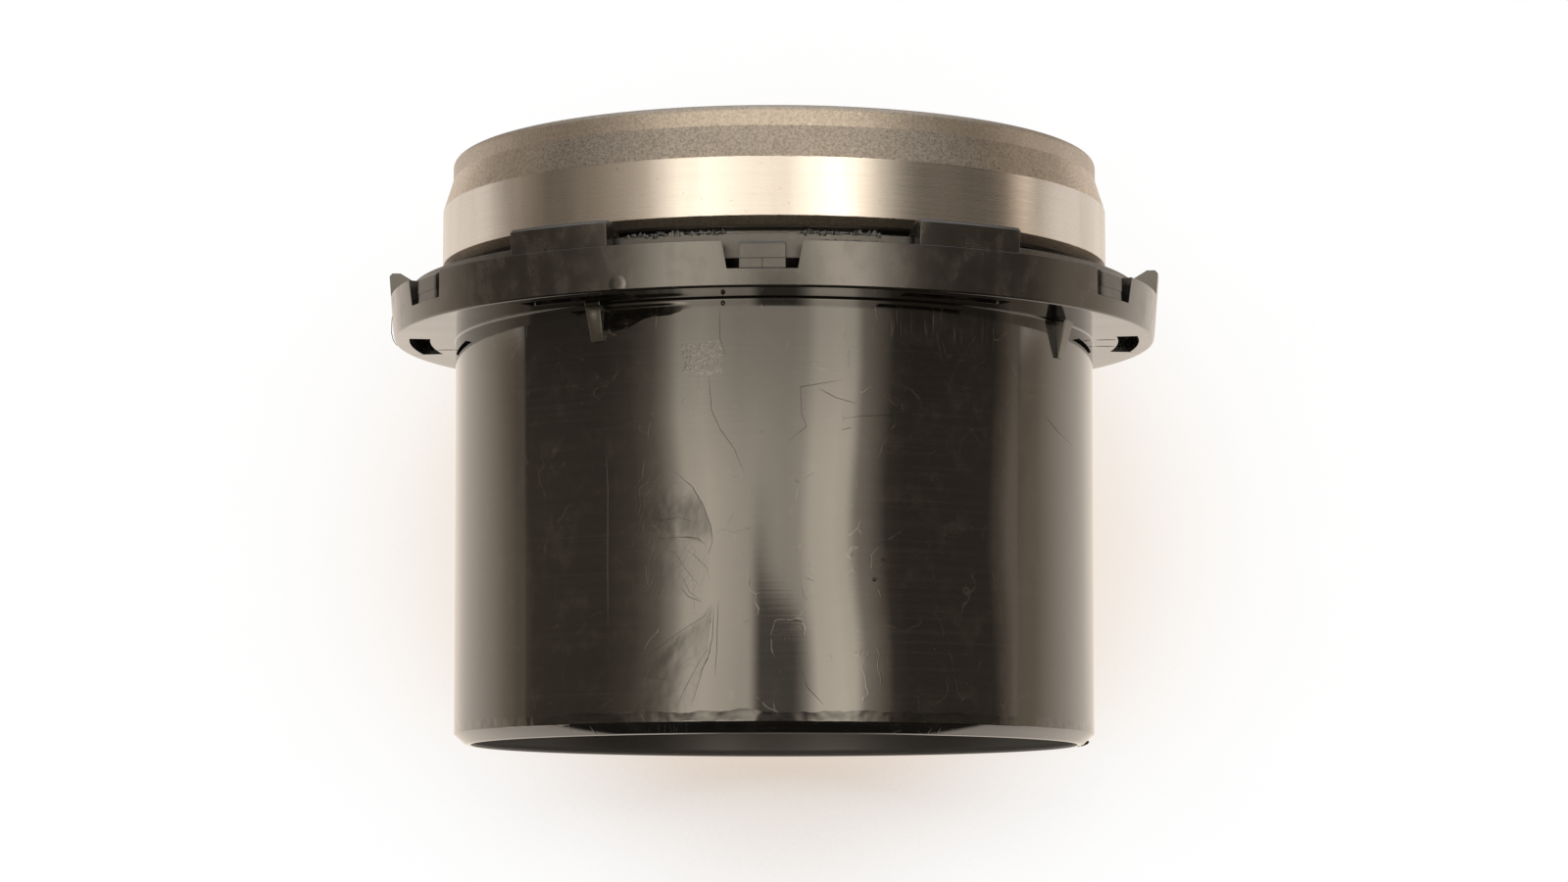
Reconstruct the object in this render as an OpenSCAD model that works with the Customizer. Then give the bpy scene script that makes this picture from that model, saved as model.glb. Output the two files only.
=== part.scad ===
// Clutch release bearing: a moulded guide sleeve whose snap hooks hold a floating carrier,
// and an angular contact ball bearing that stands on the carrier.
// Millimetres, +Z along the axis towards the clutch, origin at the centre of the sleeve's open end.
// Angles are counted from the front, which is -Y, towards +X.

/* [Guide sleeve] */
// Diameter of the sleeve's bore
sleeve_bore_d = 70; // [66:0.5:72]
// Wall of the sleeve under the flange
sleeve_wall = 2.4; // [2:0.1:3]
// Length from the open end to the underside of the flange
sleeve_len = 47.1; // [30:0.1:60]
// Loss of radius from the flange to the open end
sleeve_draft = 0.2; // [0:0.05:0.4]
// Chamfer round the outside of the open end
end_chamfer = 1.25; // [0.4:0.05:1.4]
// Width of the flat land on the open end
end_land = 0.35; // [0.2:0.05:0.5]

/* [Flange and rim] */
// Thickness of the flange's floor
floor_t = 2; // [1.6:0.1:3]
// Height of the rim above the floor
rim_h = 3; // [2.4:0.1:3.6]
// Wall of the rim at its foot
rim_t = 1.3; // [1:0.1:2]
// Gain of radius for each millimetre of the rim's height
rim_lean = 0.08; // [0:0.01:0.12]
// Edge radius under the flange
flange_edge = 0.3; // [0.1:0.05:0.6]
// Fillet between the sleeve and the flange
root_fillet = 0.4; // [0.2:0.05:1]

/* [Gussets] */
// Number of gussets under the flange
gusset_count = 4; // [2:1:6]
// Angle of the first gusset from the front
gusset_start = -29.3; // [-45:0.1:45]
// Width of a gusset at the flange
gusset_w = 2.1; // [1.4:0.1:3]
// Loss of width on each side of a gusset, from the flange to its lower end
gusset_draft = 0.3; // [0:0.05:0.5]
// Height of a gusset below the flange
gusset_h = 4.2; // [2:0.1:8]
// Reach of a gusset along the flange
gusset_reach = 1.7; // [1.2:0.1:4]
// Thickness of a gusset's blunt lower end
gusset_tip = 0.3; // [0.2:0.1:1]

/* [Snap hooks] */
// Number of hooks, with one notch between each two
hook_count = 6; // [4:1:8]
// Angle that each hook spans
hook_span = 16; // [10:1:20]
// Reach of the barb inside the rim's wall
barb_reach = 1.55; // [1:0.05:1.8]
// Height of the barb from its underside to the hook's top
barb_h = 1.5; // [1.2:0.1:2.4]
// Land on the barb's tip
barb_land = 0.2; // [0.1:0.05:0.5]
// Width of the flat on the hook's top
hook_flat = 0.95; // [0.5:0.05:1.3]
// Chamfer on the hook's outer edge
hook_edge = 0.35; // [0.1:0.05:0.5]
// Radial width of the moulding slot under each hook
slot_w = 2.4; // [1:0.1:3]

/* [Notches and lugs] */
// Width of a notch at the floor
notch_w = 7.6; // [6:0.1:9]
// Gain of width on each side of a notch, from the floor to the rim's top
notch_flare = 0.5; // [0:0.1:1]
// Width of a carrier lug
lug_w = 5; // [3:0.1:5.5]
// Chamfer on a lug's top edge
lug_edge = 0.3; // [0.1:0.05:0.6]

/* [Floating carrier] */
// Radial room for the carrier inside the rim
float_room = 0.8; // [0.4:0.05:1]
// Axial room for the wave spring
spring_room = 1.4; // [0.9:0.05:1.8]
// Thickness of the carrier's floor
carrier_t = 1.6; // [1.3:0.1:2.4]
// Height of the carrier's upstand above its floor
upstand_h = 1.2; // [0.4:0.1:1.5]
// Radial width of the carrier's upstand
upstand_w = 2.2; // [1.5:0.1:3]
// Radial width of the lip round the inner ring
lip_w = 1.75; // [1:0.05:2]

/* [Wave spring] */
// Thickness of the spring's strip
spring_t = 0.5; // [0.3:0.05:0.6]
// Radial width of the spring's strip
spring_w = 5.9; // [4:0.1:7]
// Number of waves
spring_waves = 3; // [3:1:5]

/* [Bearing rings] */
// Outer diameter of the ground band
ring_d = 78; // [74:0.1:80]
// Height of the outer ring
ring_h = 13.38; // [13:0.01:14]
// Height of the ground band
band_h = 6.45; // [5.5:0.05:7]
// Height of the chamfer under the band
foot_h = 0.94; // [0.5:0.02:1.2]
// Depth of the chamfer under the band
foot_in = 0.8; // [0.4:0.05:1]
// Height of the neck above the taper
neck_h = 2.34; // [1.8:0.02:3]
// Depth of the neck inside the band
neck_in = 1.15; // [0.8:0.05:1.3]
// Edge radius of the contact face
face_edge = 0.75; // [0.3:0.05:1]
// Steel behind the outer raceway
race_wall = 2.1; // [1.8:0.05:2.6]
// Steel behind the inner raceway
inner_wall = 2.5; // [2:0.05:3]
// Height of the inner ring's base below its raceway
base_h = 4.9; // [4:0.1:6]
// Thickness of the contact web above the raceway
web_t = 3.3; // [2.6:0.1:4]
// Reach of the contact web inside the ball circle
web_reach = 2; // [1.5:0.1:2.4]
// Drop of the inner ring below the contact face
inner_drop = 1.9; // [1.6:0.1:2.2]

/* [Balls, cage and seals] */
// Diameter of a ball
ball_d = 7.144; // [6.35:0.001:7.938]
// Number of balls
ball_count = 22; // [18:1:22]
// Thickness of the cage's base ring
cage_base_t = 1.2; // [1:0.05:1.25]
// Radial width of the cage's base ring
cage_base_w = 2.3; // [1.8:0.1:2.4]
// Radial width of the cage's prongs
prong_w = 1.7; // [1.2:0.1:1.8]
// Height of the prongs above the ball centres
prong_rise = 1.6; // [1:0.1:2]
// Thickness of the seals
seal_t = 0.8; // [0.5:0.05:0.9]

/* [Hidden] */
$fn = 96;

// Clearances
seat_gap = 0.05;
press_gap = 0.02;
slide_gap = 0.1;
lip_gap = 0.15;
cage_gap = 0.3;
race_clearance = 0.128;
pocket_clearance = 0.118;
hole_gap = 0.5;
seal_gap = 0.52;

// Bearing radii, from the ground band inwards
ring_r = ring_d / 2;
foot_r = ring_r - foot_in;
neck_r = ring_r - neck_in;
ball_r = ball_d / 2;
race_r = ball_r + race_clearance;
pitch_r = ring_r - race_wall - race_r;
race_lip = 0.3;
skirt_in_r = pitch_r + race_r - race_lip;
web_in_r = pitch_r - web_reach;
inner_out_r = pitch_r - race_r + race_lip;
inner_bore_r = pitch_r - race_r - inner_wall;
base_r = pitch_r + 0.4;
inner_edge = 0.3;

// Sleeve and flange radii
bore_r = sleeve_bore_d / 2;
sleeve_r = bore_r + sleeve_wall;
end_r = sleeve_r - sleeve_draft;
mouth_chamfer = end_r - bore_r - end_chamfer - end_land;
room_past_ring = 4.3;
ledge_past_sleeve = 5.9;
rim_in_r = max(ring_r + room_past_ring, sleeve_r + ledge_past_sleeve);
flange_r = rim_in_r + rim_t;
barb_r = rim_in_r - barb_reach;
slot_out_r = rim_in_r - 0.5;
carrier_r = rim_in_r - float_room;
carrier_hole_r = inner_bore_r + hole_gap;
floor_hole_r = carrier_hole_r + float_room;
lip_in_r = base_r + seat_gap;
lug_out_r = flange_r - slide_gap;
lug_root = 0.8;
spring_in_r = floor_hole_r + 1.8;

// Levels from the open end upwards
floor_z = sleeve_len + floor_t;
rim_z = floor_z + rim_h;
carrier_z = floor_z + spring_room;
seat_z = carrier_z + carrier_t;
upstand_z = seat_z + upstand_h;
barb_z = upstand_z + slide_gap;
hook_z = barb_z + barb_h;
base_z = seat_z + base_h;
ball_z = base_z + race_lip + race_r;
web_z = ball_z + race_r + race_lip;
face_z = web_z + web_t;
ring_z = face_z - ring_h;
band_z = ring_z + foot_h;
inner_top_z = face_z - inner_drop;
lip_z = ring_z - seal_gap;

// Angles
hook_pitch = 360 / hook_count;
hook_start = hook_pitch / 2;
slot_span = hook_span + 2;

// Name of a ball, with two digits
function ball_name(i) = str("ball_", i < 10 ? "0" : "", i);

// Points of an arc about [x, y], from angle a to angle b
function arc(x, y, r, a, b, steps = 6) =
    [for (i = [0:steps]) let (t = a + (b - a) * i / steps) [x + r * cos(t), y + r * sin(t)]];

// Radius of the leaning rim and hooks at a level
function rim_r(z) = flange_r + rim_lean * (z - sleeve_len);

// Turn a shape that lies along +X to an angle from the front
module at_angle(a) rotate([0, 0, a - 90]) children();

// Repeat a shape round the axis
module around(count, start = 0) for (i = [0:count - 1]) at_angle(start + i * 360 / count) children();

// Turn a section through an angle, centred on +X
module sector(span) rotate([0, 0, -span / 2]) rotate_extrude(angle = span) children();

// Stand an outline of width and height on the X axis and run it outwards from r0 to r1
module radial_bar(r0, r1) translate([r0, 0, 0]) rotate([90, 0, 90]) linear_extrude(r1 - r0) children();

// Sleeve, flange, rim and hooks as one turned section, before the gaps are cut
module sleeve_section()
    polygon(concat(
        [[bore_r + mouth_chamfer, 0], [end_r - end_chamfer, 0], [end_r, end_chamfer]],
        arc(sleeve_r + root_fillet, sleeve_len - root_fillet, root_fillet, 180, 90, 4),
        arc(flange_r - flange_edge, sleeve_len + flange_edge, flange_edge, -90, 0, 4),
        [[rim_r(hook_z - hook_edge), hook_z - hook_edge],
         [rim_r(hook_z) - hook_edge, hook_z],
         [rim_r(hook_z) - hook_edge - hook_flat, hook_z],
         [barb_r, barb_z + barb_land], [barb_r, barb_z],
         [rim_in_r, barb_z], [rim_in_r, floor_z], [floor_hole_r, floor_z],
         [floor_hole_r, sleeve_len], [bore_r, sleeve_len], [bore_r, mouth_chamfer]]));

// Room between two hooks, above the rim
module hook_space()
    sector(hook_pitch - hook_span)
        translate([barb_r - 1, rim_z]) square([rim_r(hook_z) - barb_r + 2, hook_z - rim_z + 1]);

// Notch through the rim, with slanted cheeks
module notch()
    radial_bar(rim_in_r - 1, rim_r(rim_z) + 1)
        polygon([[-notch_w / 2, floor_z], [notch_w / 2, floor_z],
                 [notch_w / 2 + notch_flare, rim_z], [notch_w / 2 + notch_flare, rim_z + 1],
                 [-notch_w / 2 - notch_flare, rim_z + 1], [-notch_w / 2 - notch_flare, rim_z]]);

// Slot that the core of a barb leaves in the floor
module core_slot()
    sector(slot_span)
        translate([slot_out_r - slot_w, sleeve_len - 1]) square([slot_w, floor_t + 2]);

// Gusset between the sleeve and the flange, narrower at its lower end
module gusset() {
    low_z = sleeve_len - gusset_h;
    top_z = sleeve_len + floor_t / 2;
    low_w = gusset_w - 2 * gusset_draft;
    intersection() {
        rotate([90, 0, 0])
            linear_extrude(gusset_w + 1, center = true)
                polygon([[sleeve_r - sleeve_wall / 2, low_z], [sleeve_r + gusset_tip, low_z],
                         [sleeve_r + gusset_reach, top_z], [sleeve_r - sleeve_wall / 2, top_z]]);
        radial_bar(bore_r, flange_r)
            polygon([[-low_w / 2, low_z - 1], [low_w / 2, low_z - 1], [low_w / 2, low_z],
                     [gusset_w / 2, top_z], [gusset_w / 2, top_z + 1], [-gusset_w / 2, top_z + 1],
                     [-gusset_w / 2, top_z], [-low_w / 2, low_z]]);
    }
}

module guide_sleeve() color("#1c1b1a") {
    difference() {
        rotate_extrude() sleeve_section();
        around(hook_count) hook_space();
        around(hook_count) notch();
        around(hook_count, hook_start) core_slot();
    }
    around(gusset_count, gusset_start) gusset();
}

// Steel washer with waves, which presses the carrier against the hooks
module wave_spring() {
    steps = 24 * spring_waves;
    out_r = spring_in_r + spring_w;
    mid_z = (floor_z + carrier_z) / 2;
    swing = (spring_room - spring_t) / 2 - seat_gap;
    points = [for (i = [0:steps - 1])
        let (a = 360 * i / steps, z = mid_z + swing * cos(spring_waves * a))
        for (p = [[spring_in_r, -1], [out_r, -1], [out_r, 1], [spring_in_r, 1]])
            [p[0] * cos(a), p[0] * sin(a), z + p[1] * spring_t / 2]];
    faces = [for (i = [0:steps - 1], k = [0:3])
        let (a = 4 * i + k, b = 4 * i + (k + 1) % 4, c = (a + 4) % (4 * steps), d = (b + 4) % (4 * steps))
        for (f = [[a, b, d], [a, d, c]]) f];
    color("#8d8f92") polyhedron(points, faces);
}

// Plastic carrier that floats between the floor and the barbs, with lugs in the notches
module bearing_carrier() color("#262523") {
    rotate_extrude()
        polygon([[carrier_hole_r, carrier_z], [carrier_r, carrier_z], [carrier_r, upstand_z],
                 [carrier_r - upstand_w, upstand_z], [carrier_r - upstand_w, seat_z],
                 [lip_in_r + lip_w, seat_z], [lip_in_r + lip_w, lip_z], [lip_in_r, lip_z],
                 [lip_in_r, seat_z], [carrier_hole_r, seat_z]]);
    around(hook_count)
        intersection() {
            sector(hook_pitch / 2)
                polygon([[carrier_r - lug_root, floor_z + slide_gap], [lug_out_r, floor_z + slide_gap],
                         [lug_out_r, rim_z - lug_edge], [lug_out_r - lug_edge, rim_z],
                         [carrier_r - lug_root, rim_z]]);
            translate([0, -lug_w / 2, floor_z]) cube([flange_r, lug_w, rim_h]);
        }
}

// Groove that the balls run in
module raceway() rotate_extrude() translate([pitch_r, ball_z]) circle(race_r);

// Stationary ring, which takes the load on its lower shoulder
module inner_ring() color("#a7a49e")
    difference() {
        rotate_extrude()
            polygon([[inner_bore_r + inner_edge, seat_z], [base_r, seat_z], [base_r, base_z],
                     [pitch_r, base_z], [pitch_r, ball_z], [inner_out_r, ball_z],
                     [inner_out_r, inner_top_z - inner_edge], [inner_out_r - inner_edge, inner_top_z],
                     [inner_bore_r + inner_edge, inner_top_z],
                     [inner_bore_r, inner_top_z - inner_edge], [inner_bore_r, seat_z + inner_edge]]);
        raceway();
    }

// Rotating ring, whose top web is the face that the clutch fingers press on
module outer_ring() color("#b9b3a8")
    difference() {
        rotate_extrude()
            polygon(concat(
                [[skirt_in_r, ring_z], [foot_r, ring_z], [ring_r, band_z], [ring_r, band_z + band_h],
                 [neck_r, face_z - neck_h]],
                arc(neck_r - face_edge, face_z - face_edge, face_edge, 0, 90),
                arc(web_in_r + face_edge, face_z - face_edge, face_edge, 90, 180),
                [[web_in_r, web_z], [pitch_r, web_z], [pitch_r, ball_z], [skirt_in_r, ball_z]]));
        raceway();
    }

// Place of a ball's centre
module at_ball(i) at_angle(360 * (i - 1) / ball_count) translate([pitch_r, 0, ball_z]) children();

module ball(i) color("#c9c9c9") at_ball(i) sphere(ball_r);

// Crown cage: a base ring under the balls, with prongs between them
module ball_cage() {
    pocket_r = ball_r + pocket_clearance;
    in_r = base_r + cage_gap;
    base_top_z = ball_z - pocket_r;
    color("#6b4a2a")
        difference() {
            rotate_extrude()
                polygon([[in_r, base_top_z - cage_base_t], [in_r + cage_base_w, base_top_z - cage_base_t],
                         [in_r + cage_base_w, base_top_z], [in_r + prong_w, base_top_z + 0.6],
                         [in_r + prong_w, ball_z + prong_rise], [in_r, ball_z + prong_rise]]);
            for (i = [1:ball_count]) at_ball(i) sphere(pocket_r);
        }
}

// Seal between the contact web and the inner ring
module top_seal() {
    in_r = inner_out_r + lip_gap;
    out_r = web_in_r - press_gap;
    low_z = inner_top_z - inner_edge - seal_t;
    color("#2b2a29")
        rotate_extrude()
            polygon([[in_r, low_z], [out_r, low_z], [out_r, low_z + seal_t],
                     [in_r + 0.4, low_z + seal_t], [in_r, low_z + 0.3]]);
}

// Seal between the outer ring's skirt and the base of the inner ring
module bottom_seal() {
    in_r = base_r + lip_gap;
    out_r = skirt_in_r - press_gap;
    low_z = ring_z + slide_gap;
    color("#2b2a29")
        rotate_extrude()
            polygon([[in_r, low_z], [out_r, low_z], [out_r, low_z + seal_t],
                     [in_r + 0.5, low_z + seal_t], [in_r, low_z + 0.3]]);
}

guide_sleeve();
wave_spring();
bearing_carrier();
inner_ring();
outer_ring();
ball_cage();
top_seal();
bottom_seal();
for (i = [1:ball_count]) ball(i);
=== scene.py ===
"""Looks of a clutch release bearing: a glossy moulded guide sleeve with snap hooks, a floating
carrier between the hooks, and a steel ball bearing whose outer ring meets the clutch."""

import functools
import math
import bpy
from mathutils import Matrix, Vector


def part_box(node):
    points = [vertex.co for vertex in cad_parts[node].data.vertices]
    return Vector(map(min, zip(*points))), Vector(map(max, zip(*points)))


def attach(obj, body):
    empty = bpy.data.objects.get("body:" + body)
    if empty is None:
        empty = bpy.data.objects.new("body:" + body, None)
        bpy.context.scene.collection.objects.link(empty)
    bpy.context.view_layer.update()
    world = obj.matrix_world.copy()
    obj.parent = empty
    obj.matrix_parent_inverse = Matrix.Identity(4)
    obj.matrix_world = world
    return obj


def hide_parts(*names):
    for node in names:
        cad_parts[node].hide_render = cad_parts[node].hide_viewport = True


bl_info = {
    "name": "Clutch release bearing",
    "version": (1, 0, 0),
    "blender": (4, 5, 0),
    "location": "View3D > Sidebar > Bearing",
    "description": "Builds the sleeve, carrier, rings, seals and stage of a clutch release bearing",
    "category": "Object",
}

import bmesh
import bpy
from bpy.props import FloatProperty, FloatVectorProperty, IntProperty, PointerProperty
from mathutils import Vector

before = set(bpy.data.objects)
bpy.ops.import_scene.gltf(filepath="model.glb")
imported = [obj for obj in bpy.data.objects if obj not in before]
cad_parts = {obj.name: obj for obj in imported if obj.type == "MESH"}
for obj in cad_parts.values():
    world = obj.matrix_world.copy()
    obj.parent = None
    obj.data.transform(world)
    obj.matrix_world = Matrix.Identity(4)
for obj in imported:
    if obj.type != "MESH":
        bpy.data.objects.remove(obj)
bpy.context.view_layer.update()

MM = 0.001
MICRON = 0.000001


def length(name, about, millimetres):
    """A size that a user may change."""
    return FloatProperty(name=name, description=about, default=millimetres * MM, unit="LENGTH", precision=5)


def angle(name, about, degrees):
    """An angle that a user may change."""
    return FloatProperty(name=name, description=about, default=math.radians(degrees), subtype="ANGLE")


def count(name, about, value):
    """A number of copies that a user may change."""
    return IntProperty(name=name, description=about, default=value, min=1)


def colour(name, about, red, green, blue):
    """A linear colour that a user may change."""
    return FloatVectorProperty(name=name, description=about, default=(red, green, blue), min=0, max=1,
                               subtype="COLOR")


def top_of(node):
    """Highest level of a CAD node, in millimetres."""
    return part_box(node)[1].z / MM


class SleeveSizes(bpy.types.PropertyGroup):
    """Sizes of the moulded guide sleeve."""

    bore_r: length("Bore radius", "Radius of the sleeve's bore", 35.0)
    outer_r: length("Sleeve radius", "Outer radius under the flange", 37.4)
    end_r: length("End radius", "Outer radius at the open end", 37.2)
    end_chamfer: length("End chamfer", "Chamfer round the open end", 1.25)
    mouth_chamfer: length("Mouth chamfer", "Chamfer inside the open end", 0.3)
    land_rise: length("Land rise", "Rise of the end's land towards its outer edge", 0.13)
    root_fillet: length("Root fillet", "Fillet between the sleeve and the flange", 0.22)
    flange_z: length("Flange level", "Level of the flange's underside", 47.1)
    flange_r: length("Flange radius", "Radius of the flange at its underside", 44.6)
    flange_edge: length("Flange edge", "Edge radius under the flange", 0.3)
    rim_lean: FloatProperty(name="Rim lean", description="Gain of radius for each unit of height",
                            default=0.08)
    floor_z: length("Floor level", "Level of the floor inside the rim", 49.1)
    hole_r: length("Floor hole", "Radius of the hole in the floor", 28.3)
    rim_in_r: length("Rim inside", "Inner radius of the rim", 43.3)
    rim_z: length("Rim top", "Level of the rim's top", 52.1)
    hooks: count("Hooks", "Number of snap hooks", 6)
    hook_span: angle("Hook span", "Angle that each hook spans", 16)
    hook_z: length("Hook top", "Level of the hooks' tops", top_of("guide_sleeve"))
    hook_edge: length("Hook edge", "Chamfer on a hook's outer edge", 0.35)
    hook_flat: length("Hook flat", "Width of the flat on a hook's top", 0.95)
    barb_r: length("Barb radius", "Radius of the barbs' tips", 41.75)
    barb_z: length("Barb level", "Level of the barbs' undersides", 53.4)
    barb_land: length("Barb land", "Land on a barb's tip", 0.2)
    slot_in_r: length("Slot inside", "Inner radius of the core slots", 40.4)
    slot_out_r: length("Slot outside", "Outer radius of the core slots", 42.8)
    slot_span: angle("Slot span", "Angle that each core slot spans", 18)
    notch_w: length("Notch width", "Width of a notch at the floor", 7.6)
    notch_flare: length("Notch flare", "Gain of width on each side of a notch", 0.5)
    gussets: count("Gussets", "Number of gussets under the flange", 4)
    gusset_start: angle("First gusset", "Angle of the first gusset from the front", -29.3)
    gusset_w: length("Gusset width", "Width of a gusset at the flange", 2.1)
    gusset_draft: length("Gusset draft", "Loss of width on each side of a gusset", 0.3)
    gusset_h: length("Gusset height", "Height of a gusset below the flange", 4.2)
    gusset_reach: length("Gusset reach", "Reach of a gusset along the flange", 1.7)
    gusset_tip: length("Gusset tip", "Thickness of a gusset's lower end", 0.3)
    corner: length("Corner radius", "Radius on the moulding's sharp corners", 0.09)


class CarrierSizes(bpy.types.PropertyGroup):
    """Sizes of the floating carrier."""

    hole_r: length("Hole radius", "Radius of the carrier's hole", 27.5)
    outer_r: length("Outer radius", "Radius of the carrier's disc", 42.5)
    low_z: length("Underside", "Level of the carrier's underside", 50.5)
    seat_z: length("Seat", "Level of the inner ring's seat", 52.1)
    upstand_z: length("Upstand top", "Level of the upstand's top", 53.3)
    upstand_w: length("Upstand width", "Radial width of the upstand", 2.2)
    lip_in_r: length("Lip radius", "Inner radius of the lip round the inner ring", 33.65)
    lip_w: length("Lip width", "Radial width of the lip", 1.75)
    lip_z: length("Lip top", "Level of the lip's top", top_of("bearing_carrier"))
    lug_w: length("Lug width", "Width of a lug", 5.0)
    lug_in_r: length("Lug root", "Radius where a lug leaves the disc", 41.7)
    lug_out_r: length("Lug radius", "Radius of the lugs' outer faces", 44.5)
    lug_low_z: length("Lug underside", "Level of the lugs' undersides", 49.2)
    lug_edge: length("Lug edge", "Chamfer on a lug's top edge", 0.3)
    lug_step: length("Lug step", "Step at the mould line across a lug", 0.07)
    lug_line_z: length("Mould line", "Level of the mould line across a lug", 50.25)
    corner: length("Corner radius", "Radius on the carrier's corners", 0.12)


class RingSizes(bpy.types.PropertyGroup):
    """Sizes of the bearing's two rings and its seals."""

    band_r: length("Band radius", "Radius of the ground band", 39.0)
    foot_r: length("Foot radius", "Radius of the outer ring's lower end", 38.2)
    foot_z: length("Foot level", "Level of the outer ring's lower end", 54.92)
    band_z: length("Band level", "Lower level of the ground band", 55.86)
    band_h: length("Band height", "Height of the ground band", 6.45)
    neck_r: length("Neck radius", "Radius of the neck under the contact face", 37.85)
    neck_z: length("Neck level", "Level where the taper ends", 65.96)
    face_z: length("Contact face", "Level of the contact face", top_of("outer_ring"))
    face_edge: length("Face edge", "Edge radius of the contact face", 0.75)
    web_in_r: length("Web radius", "Inner radius of the contact web", 31.2)
    web_z: length("Web level", "Level of the web's underside", 65.0)
    skirt_in_r: length("Skirt radius", "Inner radius of the outer ring's skirt", 36.6)
    pitch_r: length("Ball circle", "Radius of the circle of the balls' centres", 33.2)
    ball_z: length("Ball level", "Level of the balls' centres", 61.0)
    race_r: length("Race radius", "Radius of the raceways' grooves", 3.7)
    inner_bore_r: length("Inner bore", "Radius of the inner ring's bore", 27.0)
    inner_out_r: length("Inner shoulder", "Radius of the inner ring's upper shoulder", 29.8)
    inner_base_r: length("Inner base", "Radius of the inner ring's base", 33.6)
    inner_low_z: length("Inner seat", "Level of the inner ring's lower end", 52.1)
    inner_base_z: length("Inner base top", "Level of the inner ring's lower shoulder", 57.0)
    inner_top_z: length("Inner top", "Level of the inner ring's top", 66.4)
    corner: length("Corner radius", "Radius on the rings' corners", 0.12)


class Colours(bpy.types.PropertyGroup):
    """Colours of the finishes and of the light."""

    sleeve: colour("Sleeve plastic", "Glossy black moulding", 0.0055, 0.0052, 0.0047)
    carrier: colour("Carrier plastic", "Satin black moulding", 0.012, 0.0115, 0.0105)
    scuff: colour("Scuff", "Dry grey of rubbed plastic", 0.085, 0.08, 0.07)
    ground: colour("Ground steel", "Ground and polished steel", 0.485, 0.475, 0.467)
    blasted: colour("Blasted steel", "Blasted or raw steel", 0.52, 0.46, 0.39)
    stain: colour("Stain", "Brown film on the steel", 0.25, 0.205, 0.16)
    rubber: colour("Seal rubber", "Black nitrile rubber", 0.02, 0.019, 0.018)
    cage: colour("Cage plastic", "Brown glass-filled polyamide", 0.16, 0.085, 0.035)
    floor: colour("Floor", "Pale floor near the object", 1.0, 0.98, 0.95)
    shade: colour("Shade", "Warm tint of the shadow under the object", 0.54, 0.41, 0.31)
    # Painted shade: tint of the shadow painted on the table beside the object
    side_shade: colour("Haze", "Warm tint of the table behind the object", 0.7, 0.48, 0.28)
    light: colour("Light", "Warm tint of the light bank's panels", 1.0, 0.875, 0.71)
    gloom: colour("Gloom", "Brown tint of the dark room", 1.0, 0.8, 0.6)
    glare: colour("Glare", "Warm tint of the table in reflections", 1.0, 0.88, 0.76)


class StageSizes(bpy.types.PropertyGroup):
    """Camera and stage."""

    lens: FloatProperty(name="Lens", description="Focal length of the camera", default=88.64, unit="CAMERA")
    sensor: FloatProperty(name="Sensor", description="Width of the camera's sensor", default=36,
                          unit="CAMERA")
    camera_away: length("Camera distance", "Distance from the camera to its target", 453.8)
    camera_turn: angle("Camera azimuth", "Angle from the front, towards +X", 1.5)
    camera_rise: angle("Camera elevation", "Angle above the floor", -6.659)
    target_side: length("Target offset", "Offset of the target to the camera's right", 1.15)
    target_z: length("Target level", "Level of the target", 35.77)
    bank_r: length("Bank radius", "Radius of the curved light bank", 600)
    bank_low_z: length("Bank foot", "Lower level of the light bank", -420)
    bank_top_z: length("Bank top", "Upper level of the light bank", 620)
    bank_level: FloatProperty(name="Bank level", description="Brightest level of the bank", default=4.2)
    sky_level: FloatProperty(name="Sky level", description="Level of the room's soft fill", default=0.42)
    lamp_power: FloatProperty(name="Lamp power", description="Power of the lamp overhead", default=2.2,
                              unit="POWER")


class Wire:
    """A node's output that takes part in Python arithmetic."""

    def __init__(self, net, socket):
        self.net = net
        self.socket = socket

    def math(self, operation, first, second=0.0):
        return self.net.node("ShaderNodeMath", {"operation": operation}, {0: first, 1: second})

    def __add__(self, other):
        return self.math("ADD", self, other)

    def __sub__(self, other):
        return self.math("SUBTRACT", self, other)

    def __mul__(self, other):
        return self.math("MULTIPLY", self, other)

    def __truediv__(self, other):
        return self.math("DIVIDE", self, other)

    def __pow__(self, other):
        return self.math("POWER", self, other)

    def __rsub__(self, other):
        return self.math("SUBTRACT", other, self)

    __radd__ = __add__
    __rmul__ = __mul__

    def lesser(self, other):
        return self.math("MINIMUM", self, other)

    def greater(self, other):
        return self.math("MAXIMUM", self, other)

    def size(self):
        return self.math("ABSOLUTE", self)

    def wrapped(self, span):
        return self.math("MODULO", self, span)


class Net:
    """A node tree that is written one call a node."""

    def __init__(self, tree):
        self.tree = tree

    def node(self, kind, settings=None, inputs=None, out=0):
        """Adds a node: its settings first, then the values or links of its sockets."""
        made = self.tree.nodes.new(kind)
        for name, value in (settings or {}).items():
            if name == "stops":
                self.set_stops(made.color_ramp, value)
            else:
                setattr(made, name, value)
        for key, value in (inputs or {}).items():
            if isinstance(value, Wire):
                self.tree.links.new(value.socket, made.inputs[key])
            else:
                made.inputs[key].default_value = value
        return Wire(self, made.outputs[out]) if made.outputs else made

    @staticmethod
    def set_stops(ramp, stops):
        """Gives a colour ramp its stops, each a place and a level or colour."""
        while len(ramp.elements) < len(stops):
            ramp.elements.new(1.0)
        for element, (place, level) in zip(ramp.elements, stops):
            element.position = place
            element.color = (level, level, level, 1) if isinstance(level, float) else (*level, 1)


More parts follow.
